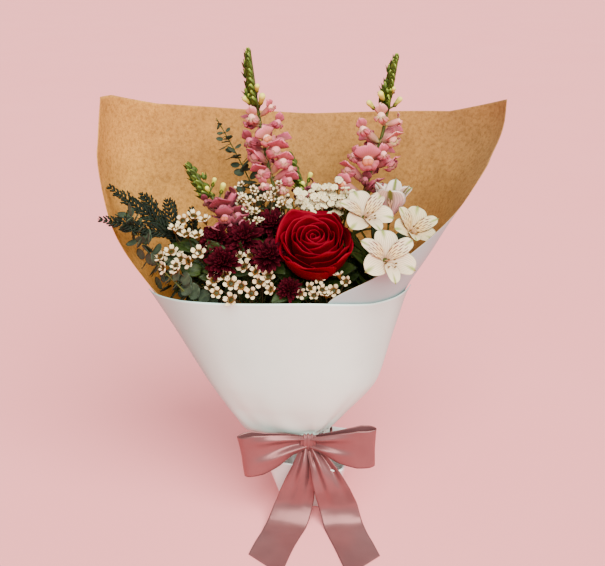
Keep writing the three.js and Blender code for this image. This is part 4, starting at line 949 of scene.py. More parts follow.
def rose_petal(u, turn, wobble):
    """A petal at share u from the heart to the outside, wrapped round the bloom's axis"""
    t, s = field(19, 21)
    rim, belly = 1.6 + 33 * u ** 1.1, 3 + 30 * u ** 0.9
    root, top = 1 + 14 * (1 - u), 38 + 4 * math.sin(math.pi * u)
    tip = 0.11 * u * np.exp(-(s / 0.18) ** 2)
    reach = t * (1 - 0.2 * np.abs(s) ** 3 + tip)
    a, b, c, d = [(1 - reach) ** 3, 3 * reach * (1 - reach) ** 2, 3 * reach ** 2 * (1 - reach), reach ** 3]
    r = 3.5 * a + belly * 1.1 * b + belly * 1.06 * c + rim * d
    z = root * a + (root - 2 * u) * b + (root + 0.52 * (top - root)) * c + top * d
    lip = smoothstep(0.74, 1, reach)
    curl = (0.3 + 4.4 * u ** 1.4) * lip ** 2
    ripple = 0.9 * np.sin(4.2 * s + wobble) + 0.5 * np.sin(9 * s)
    r += curl * 0.9 + (0.8 + 1.8 * u) * s + ripple * u * t ** 2
    z += -curl * 0.75 + 1.8 * u * np.sin(3.4 * s + wobble * 2) * t ** 2
    half = (2.1 - 1.02 * u ** 0.6) * (0.3 + 0.7 * np.sin(np.pi / 2 * np.clip(1.5 * t, 0, 1)))
    angle = turn + s * half
    return skin(np.stack([r * np.cos(angle), r * np.sin(angle), z], -1), 0.7)


ROSE_LEAVES = [
    (-34, -46, 291, 34), (34, -52, 296, 36), (-22, -64, 286, 30), (24, -68, 288, 32), (-30, -20, 300, 34),
    (34, -24, 300, 34), (4, -68, 284, 28), (38, -60, 302, 34), (-38, -34, 300, 30), (14, -56, 280, 32),
    (-14, -58, 280, 32), (44, -44, 288, 34)]


def rose():
    tilt = math.radians(61)
    axis = V(0, -math.cos(tilt), math.sin(tilt))
    foot = V(0, -52, 332) - axis * 40
    place = facing(foot, axis)
    bloom = Piece()
    count = 21
    for n in range(count):
        bloom.add(rose_petal(n / (count - 1), n * GOLDEN + 0.4 + 0.25 * math.sin(n * 3.1), n * 1.7), place)
    for k in range(4):
        lower = place @ facing((0, 0, -2.5), (0, 0, 1), scale=0.97)
        bloom.add(rose_petal(1.0, k * 1.5708 + 0.9, k * 2.3), lower)
    bloom.finish("rose_petals", "rose_bloom", "rose_petal", [ROSE_PETAL])
    green = Piece()
    way = main_stem(green, "rose", 0, 2.1, 1.9)
    green.add(tube(curve([way[-1], foot - axis * 10, foot - axis], 10), 1.8, 8))
    green.add(lathe([(1.6, -9), (4.2, -6), (4.8, -3), (4.2, -0.4), (1, -0.3)], 12), place)
    for k in range(5):
        out = round_way(k * FIFTH, -0.35)
        green.add(leaf_shape(21, 6.5, 0.5, 0.3), place @ facing((2.5 * out[0], 2.5 * out[1], -3), out), 1)
    for x, y, z, size in ROSE_LEAVES:
        root = near(way, V(x * 0.2, y * 0.6, z - 26))
        along = V(x, y, z) - root
        green.add(twig(root, root + along * 0.45, unit(along), 1, 0.8))
        place = facing(root + along * 0.42, along, outward((x, y, z), 1))
        green.add(leaf_shape(size, size * 0.58, 0.15, 0.25), place, 1)
    scatter_leaves(green, way, 0.5, 0.86, 9, leaf_shape(36, 20, 0.3), 1, 0.8)
    green.finish("rose_green", "rose_stem", "stem", [STEM, LEAF])


# Chrysanthemums, as (x, y, z, size)

CHRYSANTHEMUMS = [(-98, -32, 320, 16), (-70, -38, 322, 18), (-90, -56, 304, 16), (-42, -18, 330, 17),
                  (-44, -52, 309, 16), (-24, -72, 283, 11)]


def quill():
    """A spoon-shaped petal, one unit long"""
    t, s = field(9, 7)
    half = 0.13 * (0.4 + 0.6 * smoothstep(0.1, 0.7, t)) * round_end(t, 0.72, 0.29, 2, 0.01)
    return skin(np.stack([half * s, 0.16 * t ** 2 + 0.9 * half * s ** 2, t], -1), 0.03)


def chrysanthemum_head(piece, place, size):
    petal = quill()
    count = 84
    for n in range(count):
        u = (n + 0.5) / count
        lean = math.radians(4 + 98 * u ** 0.7 + rng.normal(0, 5))
        turn = n * GOLDEN + rng.normal(0, 0.1)
        way = round_way(turn) * math.sin(lean) + V(0, 0, math.cos(lean))
        length = size * (0.42 + 0.6 * u ** 0.9) * rng.uniform(0.86, 1.1)
        foot = way * size * 0.08 + V(0, 0, size * 0.2)
        piece.add(petal, place @ facing(foot, way, (0, 0, 1), rng.normal(0, 0.25), length))


def chrysanthemums():
    green = Piece()
    way = main_stem(green, "chrysanthemum", 0, 2.0, 1.1)
    for k, (x, y, z, size) in enumerate(CHRYSANTHEMUMS):
        node = f"chrysanthemum_{k + 1}"
        axis = outward((x, y, z), 0.9)
        foot = node_middle(node) - axis * size * 0.42
        head = Piece()
        chrysanthemum_head(head, facing(foot, axis, spin=k), size * 1.13)
        head.finish(f"chrysanthemum_petals_{k + 1}", node, "chrysanthemum_petal", [WINE_PETAL])
        green.add(twig(way[-3], foot + axis, axis, 1.3, 1.1))
        green.add(lathe([(1, -1), (3.4, 1.2), (4, 3), (1, 4)], 9), facing(foot, axis))
        for turn in range(5):
            side = unit(axis * 0.3 + round_way(turn * 1.3 + k, -0.1))
            green.add(leaf_shape(26, 16, 0.3, 0.2), facing(foot - axis * rng.uniform(4, 18), side, axis), 1)
    scatter_leaves(green, way, 0.55, 1, 18, leaf_shape(36, 22, 0.3), 1, 0.8)
    inner_leaves(green, way, (-150, -56, 264), (16, 14, 318), 150, leaf_shape(28, 17, 0.3))
    green.finish("chrysanthemum_green", "chrysanthemum_stem", "stem", [STEM, LEAF])


# Alstroemeria. For each flower its place, size and lean, how far it stands from the middle of its node, how
# far its foot is below that, its spin, how open it is, and its petals' finish.

ALSTROEMERIAS = [((49, -31, 342), 29, (0, 0, 0), (0, 0, 0), 0.42, 0.15, 1, TEPAL),
                 ((68, -78, 315), 30, (0, 0, 0), (0, 0, 0), 0.42, -0.1, 1.04, TEPAL),
                 ((80, -5, 341), 37, (-0.1, 0.65, 1.5), (-8, -4, 4), 0.62, 0.6, 0.34, HALF_TEPAL),
                 ((100, -18, 324), 28, (0.0, -0.3, 0.35), (-8, -9, 1), 0.62, -0.5, 0.72, CREAM_TEPAL)]
ALSTROEMERIA_LEAVES = [(40, -34, 326, 42), (52, -44, 308, 40), (92, -34, 300, 38), (62, 8, 332, 42),
                       (48, -58, 296, 36), (72, -54, 290, 28), (30, -36, 306, 36), (66, -40, 292, 40)]


def tepal(length, width, open_share, recurve, waist, mark):
    """A tepal that leaves the throat along +Z and opens towards +X; waist is its width near the throat"""
    t, s = field(17, 11)
    lean = 10 + (74 * open_share - 10) * smoothstep(0.05, 0.55, t) + recurve * smoothstep(0.55, 1, t)
    lean = np.radians(lean)
    step = length / 16
    r = 1.6 + np.cumsum(np.sin(lean) * step, axis=0) - np.sin(lean[:1]) * step
    z = np.cumsum(np.cos(lean) * step, axis=0) - np.cos(lean[:1]) * step
    half = width / 2 * (waist + (1 - waist) * smoothstep(0.05, 0.62, t)) * round_end(t, 0.6, 0.41, 2.2, 0.002)
    cup = 0.3 * half * s ** 2 + 0.3 * np.sin(8 * s + 6 * t) * smoothstep(0.4, 1, np.abs(s)) * t
    notch = 0.05 * length * np.exp(-(s / 0.3) ** 2) * smoothstep(0.9, 1, t)
    point = np.stack([r + np.sin(lean) * notch - np.cos(lean) * cup, half * s,
                      z + np.cos(lean) * notch + np.sin(lean) * cup], -1)
    return skin(point, 0.5, mark)


def alstroemeria_head(piece, place, size, open_share):
    for k in range(6):
        turn = math.radians(90 + 60 * k)
        lift = 0.7 if k % 2 else 0
        if k % 2:
            mark = 1.0 if math.sin(turn) > 0 else 0.0
            shape = tepal(size * 1.2, size * 0.46 * (1.1 if mark else 1),
                          open_share * 0.9 * rng.uniform(0.94, 1.04), 16, 0.3, mark)
        else:
            shape = tepal(size * 1.12, size * 0.8, open_share * rng.uniform(0.94, 1.04), 24, 0.16, 0.0)
        piece.add(shape, place @ facing((0, 0, lift), (0, 0, 1), (0, 1, 0), turn))
    for k in range(6):
        lean = V(0.3 * math.cos(k * 1.05) * open_share, -0.45 * open_share + 0.22 * math.sin(k * 1.05), 1)
        end = unit(lean) * size * (0.66 + 0.05 * (k % 3))
        path = curve([(0, 0, 1), end * 0.5 + V(0, 0.8, 0), end], 8)
        piece.add(tube(path, np.linspace(0.5, 0.28, 9), 5), place, 1)
        anther = lathe([(0.2, -1.4), (0.75, -0.8), (0.8, 0.5), (0.2, 1.3)], 6)
        piece.add(anther, place @ facing(end, (1, 0.3, 0.2)), 2)
    piece.add(lathe([(0.9, -2), (1.9, 0), (2.4, 3), (2.7, 6)], 8), place, 3)


def alstroemeria():
    green = Piece()
    way = main_stem(green, "alstroemeria", 0, 2.0, 1.1)
    for k, (at, size, lean, shift, sunk, spin, open_share, finish) in enumerate(ALSTROEMERIAS):
        node = f"alstroemeria_{k + 1}"
        axis = unit(outward(at, 0.8) + np.array(lean))
        foot = node_middle(node) + np.array(shift) - axis * size * sunk
        head = Piece()
        alstroemeria_head(head, facing(foot, axis, spin=spin), size, open_share)
        head.finish(f"alstroemeria_petals_{k + 1}", node, "alstroemeria_petal",
                    [finish, PEACH_TEPAL, CUP, STEM])
        green.add(twig(way[-4], foot - axis, axis, 1.3, 1.0))
    for x, y, z, size in ALSTROEMERIA_LEAVES:
        root = near(way, V(x * 0.9, y * 0.5, z - 45))
        along = V(x, y, z) - root
        leaf = leaf_shape(np.linalg.norm(along), size * 0.3, 0.1, 0.3)
        green.add(leaf, facing(root, along, outward((x, y, z), 1)), 1)
    scatter_leaves(green, way, 0.55, 0.98, 12, leaf_shape(46, 12, 0.3), 1, 0.6)
    inner_leaves(green, way, (10, -50, 264), (96, 14, 318), 80, leaf_shape(38, 13, 0.2))
    green.finish("alstroemeria_green", "alstroemeria_stem", "stem", [STEM, LEAF])


# Snapdragons. For each spike: its green buds, the length they take and their breadth, florets as (x, y, z,
# size, kind, tone), where a low tone darkens the floret as painted shade and a high tone makes it paler pink,
# and cream buds as (x, y, z, size).

SNAPDRAGONS = {
    "snapdragon_tall_left": (44, 52, 1.0, [
        (-62, 20, 430, 8.8, 2, 0.9), (-65, 16, 407, 9.4, 2, 0.4), (-60, 12, 391, 10.2, 1, 0.62),
        (-53, 8, 376, 10.2, 1, 0.66), (-51, 5, 364, 7.4, 2, 0.8), (-35, 24, 424, 8.4, 2, 0.55),
        (-46, 10, 411, 9.8, 0, 0.85), (-37, 8, 399, 11.4, 1, 0.66), (-30, 6, 388, 9.8, 1, 0.72),
        (-22, 10, 380, 8.6, 2, 0.6), (-24, 6, 369, 8.8, 1, 0.6), (-30, 6, 360, 7.6, 2, 0.95),
        (-66, 42, 420, 9, 1, 0.6), (-50, 50, 408, 9.5, 1, 0.6), (-62, 40, 392, 10, 1, 0.5),
        (-32, 44, 400, 9.5, 1, 0.6), (-48, 40, 382, 10, 2, 0.5), (-42, 22, 440, 6.6, 2, 0.75)],
        [(-66, 30, 444, 10), (-56, 26, 457, 9), (-52, 25, 446, 12), (-60, 46, 440, 10)]),
    "snapdragon_tall_right": (44, 52, 1.0, [
        (67, 18, 432, 9.6, 2, 0.95), (49, 20, 418, 9.4, 2, 0.8), (87, 32, 424, 7, 2, 1.0),
        (80, 14, 408, 10.6, 1, 0.9), (54, 2, 390, 13, 0, 0.74), (40, 12, 393, 8.8, 2, 0.66),
        (79, 12, 384, 10.4, 1, 0.6), (34, 8, 379, 9.4, 1, 0.68), (29, 4, 366, 8.6, 0, 0.74),
        (64, 2, 364, 9.8, 1, 0.46), (52, 6, 370, 7.6, 2, 0.25), (70, 6, 396, 8.4, 2, 0.7),
        (82, 46, 410, 9.5, 1, 0.6), (58, 46, 402, 9.5, 1, 0.6), (74, 46, 388, 10, 1, 0.5),
        (50, 38, 384, 10, 1, 0.5), (62, 42, 372, 9, 1, 0.5)],
        [(68, 25, 449, 11), (58, 27, 440, 10), (84, 34, 442, 10), (79, 26, 455, 7), (76, 48, 444, 10)]),
    "snapdragon_short_left": (26, 40, 0.86, [
        (-80, 4, 356, 7.4, 2, 0.3), (-108, -6, 350, 6.6, 2, 0.12), (-101, -10, 346, 8, 1, 0.2),
        (-90, -18, 346, 12, 1, 0.36), (-88, -24, 339, 9, 0, 0.3), (-75, -14, 338, 9.6, 1, 0.4),
        (-71, -16, 331, 9.6, 1, 0.42), (-98, -24, 326, 9, 1, 0.3), (-84, -22, 330, 9, 2, 0.2),
        (-98, 6, 344, 8.5, 1, 0.25), (-82, 12, 346, 8.5, 0, 0.25), (-93, -8, 332, 9, 1, 0.15)],
        [(-106, 0, 360, 8), (-101, 8, 366, 8), (-92, 2, 361, 10)]),
    "snapdragon_short_middle": (26, 42, 0.8, [
        (-17, 26, 348, 7, 1, 0.2), (-5, 24, 349, 7.4, 1, 0.25), (2, 30, 359, 6.4, 2, 0.3),
        (-12, 40, 352, 7, 1, 0.3), (-2, 38, 346, 7, 0, 0.3)],
        [(-10, 26, 357, 9), (-4, 34, 364, 9)]),
}


def lobe(turn, length, width, lift, back, wave):
    """A rounded lobe of a lip, from the throat towards turn; lift bulges it and back rolls it away"""
    t, s = field(9, 9)
    half = width / 2 * (0.45 + 0.55 * smoothstep(0, 0.6, t)) * round_end(t, 0.55, 0.46, 2.4, 0.01)
    ripple = (0.1 * np.sin(6 * s + wave) * t - 0.14 * s ** 2) * (0.4 + t)
    z = lift * np.sin(np.pi * 0.75 * t) - back * t ** 2.2 + ripple
    return radial_petal(turn, 0.2 + length * (np.sin(1.5 * t) / 1.2), half * s, z + 0.1, 0.07)


def hood(raised, wave, narrow):
    """The upper lip: a broad fold with two lobes that comes over the palate and turns up as it is raised"""
    t, s = field(13, 13)
    reach = t * (1 - 0.22 * np.exp(-(s / 0.2) ** 2) * t)
    half = 0.98 * narrow * (0.36 + 0.64 * smoothstep(0, 0.7, t)) * round_end(t, 0.6, 0.41, 2.6, 0.01)
    bend = 1.7 * raised
    y = 0.26 + 1.2 * (math.cos(0.45) - np.cos(0.45 + bend * reach)) / bend
    z = -0.25 + 1.2 * (np.sin(0.45 + bend * reach) - math.sin(0.45)) / bend
    y += -0.42 * s ** 2 * (0.35 + 0.6 * t) + 0.08 * np.sin(4.5 * s + wave) * t ** 2
    z += -0.16 * s ** 2 + 0.07 * np.sin(6.5 * s + 2 * wave) * t ** 2
    return skin(np.stack([half * s, y, z], -1), 0.07)


def snapdragon_faces():
    """An open floret, a hooded one and a narrow one with its hood raised, and their puffed palate"""
    down = -math.pi / 2
    faces = []
    for k, (raised, narrow, droop) in enumerate(((1.0, 1.05, 0.5), (0.42, 1.0, 0.75), (0.75, 0.66, 0.6))):
        lower = [lobe(down + turn, length, width * narrow, 0.2, droop * share, k + wave)
                 for turn, length, width, share, wave in ((0, 0.55, 0.75, 1, 0), (-0.95, 0.66, 0.8, 0.8, 1),
                                                          (0.95, 0.66, 0.8, 0.9, 3))]
        faces.append(joined([hood(raised, k * 1.9, narrow), *lower]))
    return faces, joined([ball((x, -0.1, 0.14), (0.27, 0.27, 0.28)) for x in (-0.14, 0.14)])


def bud_spike(piece, way, count, stretch, broad):
    """Buds with their bracts, packed at the tip and wider apart below"""
    spacing = np.linalg.norm(way[-1] - way[-2])
    bud = lathe([(0.15, -0.5), (0.6, 0.0), (0.8, 0.6), (0.72, 1.3), (0.46, 1.9), (0.12, 2.4)], 8)
    for k in range(count):
        back = (k + 0.2) / count
        i = int(len(way) - 1 - stretch * back ** 1.15 / spacing)
        tangent = unit(way[i] - way[i - 2])
        side = unit(np.cross(tangent, V(math.cos(k * 2.4), 0.3, math.sin(k * 2.4))))
        axis = unit(tangent * (1.5 - 0.5 * back) + side * (0.2 + 0.55 * back))
        width = (2.5 + 1.5 * back) * broad
        at = way[i] + side * (1.0 + 3.4 * float(smoothstep(0, 0.3, back)) + 2.0 * back) * broad
        opening = 0.75 * float(smoothstep(0.82, 1.0, back)) * (k % 3 == 0)
        piece.add(marked(bud, opening), facing(at, axis, tangent, scale=width), 2)
        bract = leaf_shape(8 + 4 * back, 4.6 + 2 * back, -0.15, 0.5, 7, 5)
        piece.add(bract, facing(at - axis * 3 + side * width * 0.45, unit(axis + side * 0.1), side), 5)


def snapdragon(name):
    buds, stretch, broad, florets, cream = SNAPDRAGONS[name]
    piece = Piece()
    way = stem_way(name, 160)
    piece.add(tube(way, np.linspace(2.6, 1.6, len(way)), 8), slot=1)
    bud_spike(piece, way, buds, stretch, broad)
    faces, palate = snapdragon_faces()
    throat = np.array([0.16, 0.26, 0.36, 0.42, 0.44, 0.44, 0.44, 0.42, 0.36])
    for k, (x, y, z, size, kind, tone_and_shade) in enumerate(florets):
        mouth = V(x, y, z)
        root = near(way, mouth + V(0, 0, -7))
        out = unit(mouth - root)
        axis = unit(out + V(0, -0.55 if y < root[1] else 0.3, (-0.1, -0.5, 0.0)[kind]))
        place = facing(mouth, axis, (0, 0.1, 1), 0.5 * math.sin(k * 2.3), size * 1.08)
        # The floret's tone, given as the draw, sets its painted shade and its paleness; the throat is drawn a
        # little higher, so it is shaded less
        piece.add(faces[kind], place, 0, tone_and_shade)
        if kind == 0:
            piece.add(palate, place, 3, tone_and_shade)
        inner = mouth - axis * size * 0.75
        path = curve([root, (root + inner) / 2 + V(0, 0, -0.8), inner, mouth + axis * 0.05 * size], 8)
        piece.add(tube(path, throat * size, 10), None, 0, min(tone_and_shade + 0.2, 1))
        for turn in range(4):
            side = round_way(turn * 1.57)
            place = facing(root + out, unit(out * 0.9 + side * 0.6), side)
            piece.add(leaf_shape(6, 3, 0.2, 0.4, 6, 5), place, 5)
    bud = lathe([(0.3, -1.4), (0.62, -0.8), (0.7, 0.2), (0.86, 1.2), (0.9, 1.8), (0.66, 2.3), (0.15, 2.5)],
                10)
    for x, y, z, size in cream:
        middle = V(x, y, z)
        root = near(way, middle + V(0, 0, -8))
        axis = unit(middle - root + V(0, -1, 4))
        piece.add(marked(bud, 1.0), facing(middle - axis * size * 0.1, axis, scale=size / 3.1), 2)
        piece.add(tube([root, middle - axis * size * 0.5], 1.1, 6), slot=1)
        place = facing(middle - axis * size * 0.55, axis + V(0, -0.5, 0), (0, -1, 0))
        piece.add(leaf_shape(7, 4, 0.1, 0.5, 6, 5), place, 5)
    scatter_leaves(piece, way, 0.42, 0.72, 12, leaf_shape(34, 9, 0.25), 4, 0.65)
    piece.finish(f"{name}_bloom", name, "snapdragon", [PINK_PETAL, STEM, BUD, PALATE, LEAF, SPIKE_LEAF])


# Sprays of small flowers: where the flowers stand

WAX = {
    "wax_flower_left": [
        (-126, -28, 323), (-115, -30, 322), (-113, -43, 309), (-130, -47, 304), (-140, -40, 309),
        (-150, -46, 306), (-138, -22, 327), (-131, -14, 333), (-120, -12, 337), (-108, -22, 336),
        (-146, -52, 297), (-133, -56, 296), (-122, -50, 303)],
    "wax_flower_front": [
        (-62, -52, 309), (-51, -58, 306), (-67, -60, 301), (-56, -64, 297), (-44, -66, 293),
        (-41, -72, 282), (-86, -64, 293), (-97, -63, 288), (-80, -69, 287), (-70, -71, 285),
        (-60, -74, 279), (-100, -62, 280), (-94, -71, 278), (-79, -83, 276), (-52, -66, 288)],
    "wax_flower_low": [
        (5, -66, 291), (-4, -70, 283), (8, -70, 281), (-13, -72, 278), (24, -66, 295), (31, -68, 289),
        (19, -70, 280), (0, -72, 276), (12, -72, 277)],
    "wax_flower_top": [
        (-72, -4, 356), (-38, -2, 360), (-67, -14, 346), (-58, -16, 343), (-33, -12, 349), (-56, -24, 336),
        (-46, -4, 356), (-64, -8, 352)],
}
STATICE = [
    (-1, -17, 341), (10, -12, 347), (20, -4, 355), (31, 0, 359), (38, -6, 353), (8, -4, 356),
    (-8, -12, 347), (17, -18, 340), (26, -10, 348), (2, -6, 352), (14, 4, 362), (-14, -6, 350)]


def wax_flower():
    """Petals, the golden ring with its anthers, and the dark heart, one unit to the petals' ends"""
    t, s = field(7, 7)
    half = 0.34 * oval(t, 1.85, 0.92, 0.03)
    z = 0.1 * np.sin(np.pi * t) + 0.22 * s ** 2 * t + 0.3 * t ** 2
    petals = [radial_petal(k * 2 * math.pi / 5, 0.44 + 0.58 * t - 0.04 * s ** 2, half * s, z, 0.08)
              for k in range(5)]
    cup = lathe([(0.1, -0.85), (0.28, -0.55), (0.4, -0.12), (0.5, 0.06), (0.44, 0.17), (0.33, 0.06),
                 (0.28, -0.02)], 14)
    anthers = [ball(round_way(a) * 0.39 + V(0, 0, 0.2), (0.06, 0.06, 0.06), 4, 5)
               for a in np.linspace(0, 2 * math.pi, 10, endpoint=False)]
    heart = joined([lathe([(0.3, -0.04), (0.3, 0.03), (0.16, 0.0), (0.05, 0.05)], 10),
                    tube([(0, 0, -0.05), (0, 0, 0.12), (0.02, 0, 0.26)], (0.06, 0.05, 0.06), 5)])
    return joined(petals), joined([cup, *anthers]), heart


def wax_bud():
    cup = lathe([(0.08, -0.95), (0.26, -0.6), (0.38, -0.2), (0.36, -0.05)], 10)
    return ball((0, 0, 0), (0.42, 0.42, 0.46)), cup


def statice_floret():
    t, s = field(6, 6)
    half = 0.5 * oval(t, 1.7, 0.85, 0.03)
    lobes = []
    for k in range(5):
        z = 0.55 * t - 0.5 * t ** 3 + 0.16 * np.sin(5 * s + 3 * k) * t
        lobes.append(radial_petal(k * FIFTH, 0.06 + 0.9 * t, half * s, z, 0.16))
    return joined(lobes + [lathe([(0.1, -1.1), (0.22, -0.5), (0.35, 0.05), (0.2, 0.2)], 7)])


def needles(piece, path, slot, count, length=12):
    """Fine needle leaves along a twig, away from the paper"""
    for _ in range(count):
        i = rng.integers(2, len(path) - 2)
        side = unit(rng.normal(0, 1, 3))
        way = unit(unit(path[i + 1] - path[i]) * 0.9 + side * 0.7)
        end = path[i] + way * length * rng.uniform(0.6, 1.1)
        if room(end) <= NEEDLES_INSIDE:
            middle = (path[i] + end) / 2 + V(0, 0, 0.6)
            piece.add(tube([path[i], middle, end], (0.45, 0.55, 0.08), 4), slot=slot)


def spray(owner, slot_name, places, shapes, materials, scale, extra, spread, leaves, bud=None):
    """Flowers on twigs that leave the upper stem, and extra ones round them; each shape of a flower or bud
    has the material at its own position"""
    piece = Piece()
    wood, leaf = len(shapes), len(shapes) + 1
    way = main_stem(piece, owner, wood, 2.0, 1.0)
    places = [np.array(p, float) for p in places]
    first = len(places)
    for k in range(extra):
        places.append(places[k % first] + V(*rng.normal(0, spread, 3)) + V(0, 3.5, -1.5))
    for k, at in enumerate(places):
        if k >= first and np.linalg.norm(at - ROSE_MIDDLE) < ROSE_ROOM + 2:
            continue
        root = way[int((0.97 - 0.22 * ((k * 0.618) % 1)) * (len(way) - 1))]
        axis = unit(outward(at, 0.9) + V(*rng.normal(0, 0.32, 3)))
        size = scale * rng.uniform(0.84, 1.08) * (1 if k < first else 0.88)
        place = facing(at, axis, spin=rng.uniform(0, 6.28), scale=size)
        closed = bud is not None and k >= first and k % 3 == 0
        for slot, shape in enumerate(bud if closed else shapes):
            piece.add(shape, place, slot)
        path = twig_way(root, at - axis * size * 0.7, axis, 8, 0.5, 2.5, 10)
        piece.add(tube(path, np.linspace(0.75, 0.5, 11), 5), slot=wood)
        needles(piece, path, leaf, leaves)
    needles(piece, curve([way[int(len(way) * 0.6)], way[-1]], 20), leaf, leaves * 6, 24)
    piece.finish(f"{owner}_bloom", owner, slot_name, materials)


def sprays():
    flower, bud = wax_flower(), wax_bud()
    wax = [WHITE_PETAL, CUP, CUP_HEART, BROWN_TWIG, NEEDLE]
    for side, scale, extra, spread, leaves in (("left", 7.2, 6, 6, 7), ("front", 7.2, 3, 6, 7),
                                               ("low", 6.2, 1, 6, 7), ("top", 4.8, 36, 9, 4)):
        owner = f"wax_flower_{side}"
        spray(owner, "wax_flower", WAX[owner], flower, wax, scale, extra, spread, leaves, bud)
    spray("statice", "statice", STATICE, [statice_floret()], [CREAM_FLORET, STEM, NEEDLE], 5.2, 84, 6.5, 2)


# Leafy sprigs: leaves as (x, y, z, radius) on longer stalks, and fronds as root, tip and half width

SIDE_LEAVES = [(-186, -28, 342, 7.5), (-176, -44, 354, 6.5), (-169, -50, 348, 6.5), (-192, -30, 338, 4.5),
               (-183, -28, 332, 7), (-178, -26, 323, 7.5), (-165, -52, 337, 6.5), (-169, -40, 319, 7),
               (-158, -54, 328, 6.5), (-162, -46, 313, 7.5), (-171, -34, 305, 6), (-159, -44, 303, 7),
               (-168, -32, 293, 6.5), (-153, -46, 296, 7), (-161, -30, 284, 6.5), (-165, -28, 276, 4.5),
               (-149, -44, 286, 7.5), (-155, -34, 274, 7), (-142, -46, 281, 7), (-150, -24, 263, 7),
               (-135, -50, 277, 7.5), (-140, -38, 263, 6.5), (-125, -56, 276, 7.5), (-129, -48, 263, 7),
               (-117, -56, 272, 7.5), (-121, -52, 261, 6), (-108, -56, 268, 7.5), (-111, -56, 259, 5.5),
               (-99, -56, 263, 7), (-125, -56, 287, 7), (-134, -56, 291, 6.5)]
TALL_LEAVES = [(-99, 50, 420, 2.6), (-98, 50, 414, 3), (-93, 48, 408, 3.6), (-97, 46, 402, 3.8),
               (-90, 42, 400, 5), (-94, 42, 393, 4), (-85, 40, 392, 5.4), (-87, 40, 383, 5),
               (-80, 36, 386, 6.4), (-69, 34, 379, 7.2), (-77, 36, 369, 5.5), (-66, 28, 360, 8.2),
               (-75, 30, 353, 5), (-54, 24, 353, 7.6), (-50, 6, 339, 8)]
CYPRESS = [((-118, -6, 290), (-160, 4, 326), 7), ((-134, -12, 308), (-205, -8, 367), 9),
           ((-140, -14, 318), (-208, -46, 345), 8), ((-136, -12, 314), (-150, 2, 352), 9),
           ((-150, -12, 326), (-176, 8, 356), 8), ((-120, -6, 290), (-124, 8, 342), 8)]


def eucalyptus(name, low, radius, spacing, facing_stem, more):
    """Round leaves in crossed pairs along the upper stem, with their radius at its foot and at its tip"""
    piece = Piece()
    way = stem_way(name, 200)
    piece.add(tube(way, np.linspace(2, 0.5, len(way)), 7))
    length = np.linalg.norm(np.diff(way, axis=0), axis=1).sum()
    count = int(length * (1 - low) / spacing)
    for k in range(count):
        i = int((low + (1 - low) * (k + 0.5) / count) * (len(way) - 2))
        tangent = unit(way[i + 1] - way[i])
        face = unit(np.cross(tangent, V(0, -0.8, 0.6)))
        other = np.cross(tangent, face)
        size = radius[0] + (radius[1] - radius[0]) * (k / count)
        for hand in (1, -1):
            side = (face if k % 2 else other) * hand
            axis = unit(side + tangent * 0.35 + V(*rng.normal(0, 0.18, 3)))
            root = way[i] + axis * 0.8
            foot = root + axis * size * 0.25
            piece.add(tube([way[i], root, foot], 0.4, 4))
            up = outward(way[i], 1) * (1 - facing_stem) + tangent * facing_stem
            up = unit(up + V(*rng.normal(0, 0.25, 3)))
            leaf, place = round_leaf(size * rng.uniform(0.9, 1.1)), facing(foot, axis, up)
            if fits(leaf, place):
                piece.add(leaf, place, 1)
    up = V(-0.2, -0.7, 0.8)
    for x, y, z, size in more:
        middle = V(x, y, z)
        root = near(way, middle)
        axis = unit(middle - root + V(0, -0.3, -0.2) + rng.normal(0, 0.2, 3))
        foot = middle - axis * size
        piece.add(tube([root, (root + foot) / 2 + V(0, 0, 1), foot], 0.5, 4))
        leaf = round_leaf(size)
        if fits(leaf, facing(foot, axis, up)):
            piece.add(leaf, facing(foot, axis, up + rng.normal(0, 0.3, 3)), 1)
    piece.finish(f"{name}_sprig", name, "eucalyptus", [STEM, GUM_LEAF])


def frond(piece, root, tip, half, facing_way):
    """A feathery spray: thin twigs on both sides of a rib, each with short shoots"""
    along = np.array(tip, float) - np.array(root, float)
    side = unit(np.cross(facing_way, along))
    up = unit(np.cross(along, side))
    count = int(np.linalg.norm(along) / 4.4)
    u = np.linspace(0, 1, count + 1)[:, None]
    rib = np.array(root, float) + along * u + up * 5 * np.sin(np.pi * u)
    piece.add(tube(rib, np.linspace(1.0, 0.45, count + 1), 5), slot=1)
    for k in range(1, count + 1):
        for hand in (1, -1):
            reach = half * 1.55 * math.sin(math.pi * (0.2 + 0.7 * (k / count))) * rng.uniform(0.7, 1.2)
            way = unit(unit(along) * 1.3 + side * hand + up * rng.normal(0, 0.35))
            start = rib[k - 1]
            end = start + way * reach
            path = curve([start, (start + end) / 2 + up * 0.8, end + unit(along) * reach * 0.15], 5)
            piece.add(tube(path, (0.8, 1.35, 1.3, 1.2, 1.0, 0.35), 4), slot=1)
            for j in range(1, 5):
                shoot = unit(way * 1.6 + np.cross(way, up) * (1 if j % 2 else -1) + up * rng.normal(0, 0.3))
                end = path[j] + shoot * reach * (0.4 - 0.06 * j)
                piece.add(tube([path[j], (path[j] + end) / 2, end], (0.8, 1.15, 0.3), 4), slot=1)


def cypress():
    piece = Piece()
    main_stem(piece, "cypress", 0, 2, 0.9)
    for root, tip, half in CYPRESS:
        frond(piece, root, tip, half, unit(V(0, -0.8, 0.6) + V(*rng.normal(0, 0.15, 3))))
    piece.finish("cypress_fronds", "cypress", "cypress", [BROWN_TWIG, CYPRESS_LEAF])


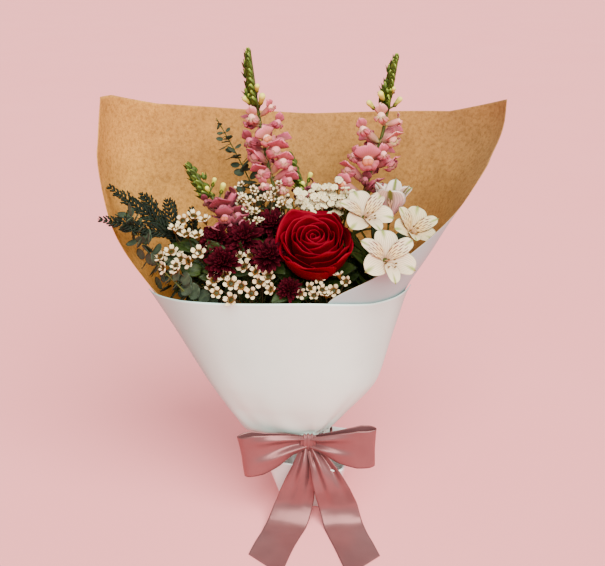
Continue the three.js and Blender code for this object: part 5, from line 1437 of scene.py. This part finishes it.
back_paper()
front_paper()
film()
holder()
twine()
ribbon()
rose()
chrysanthemums()
alstroemeria()
for spike in SNAPDRAGONS:
    snapdragon(spike)
sprays()
eucalyptus("eucalyptus_tall", 0.72, (7.5, 2.4), 9, 0.0, TALL_LEAVES)
eucalyptus("eucalyptus_side", 0.5, (8.2, 5.5), 5.6, 0.2, SIDE_LEAVES)
cypress()


# Stage, light and camera

LIGHT = {"from": (0.4, -1.0, 1.2), "strength": 8.0, "colour": (0.93, 1, 0.95), "width": 60}
WORLD = {"colour": (0.93, 1.0, 0.97, 1), "strength": 0.85}
# The camera stands where the photograph was taken, and its focal length is in the photograph's pixels
CAMERA = {"place": (-0.011, -0.827, 0.594), "pitch": 22, "focal_pixels": 850, "picture_width": 605}


def stage():
    half = 30  # of the floor, in metres
    corners = [(-half, -half, 0), (half, -half, 0), (half, half, 0), (-half, half, 0)]
    floor = bpy.data.meshes.new("floor")
    floor.from_pydata(corners, [], [(0, 1, 2, 3)])
    f = Finish("floor_matte", Roughness=0.9, Specular_IOR_Level=0.1)
    f.colour(f.ramp(f.noise(3, 2), [(0.3, (0.94, 0.29, 0.302)), (0.7, (0.95, 0.30, 0.312))]))
    floor.materials.append(f.material)
    linked("floor", floor)
    world = bpy.data.worlds.new("studio")
    world.use_nodes = True
    background = world.node_tree.nodes["Background"]
    background.inputs["Color"].default_value = WORLD["colour"]
    background.inputs["Strength"].default_value = WORLD["strength"]
    bpy.context.scene.world = world


def soft_light():
    """A distant light that is seen under a wide angle"""
    light = bpy.data.lights.new("key", "SUN")
    light.energy, light.color, light.angle = LIGHT["strength"], LIGHT["colour"], math.radians(LIGHT["width"])
    linked("key", light).matrix_world = Matrix(facing(LIGHT["from"], LIGHT["from"]).tolist())


def camera():
    lens = bpy.data.cameras.new("camera")
    lens.sensor_width = 36
    lens.lens = 36 * CAMERA["focal_pixels"] / CAMERA["picture_width"]
    made = linked("camera", lens)
    made.location = CAMERA["place"]
    made.rotation_euler = (math.radians(90 - CAMERA["pitch"]), 0, 0)
    bpy.context.scene.camera = made


stage()
soft_light()
camera()
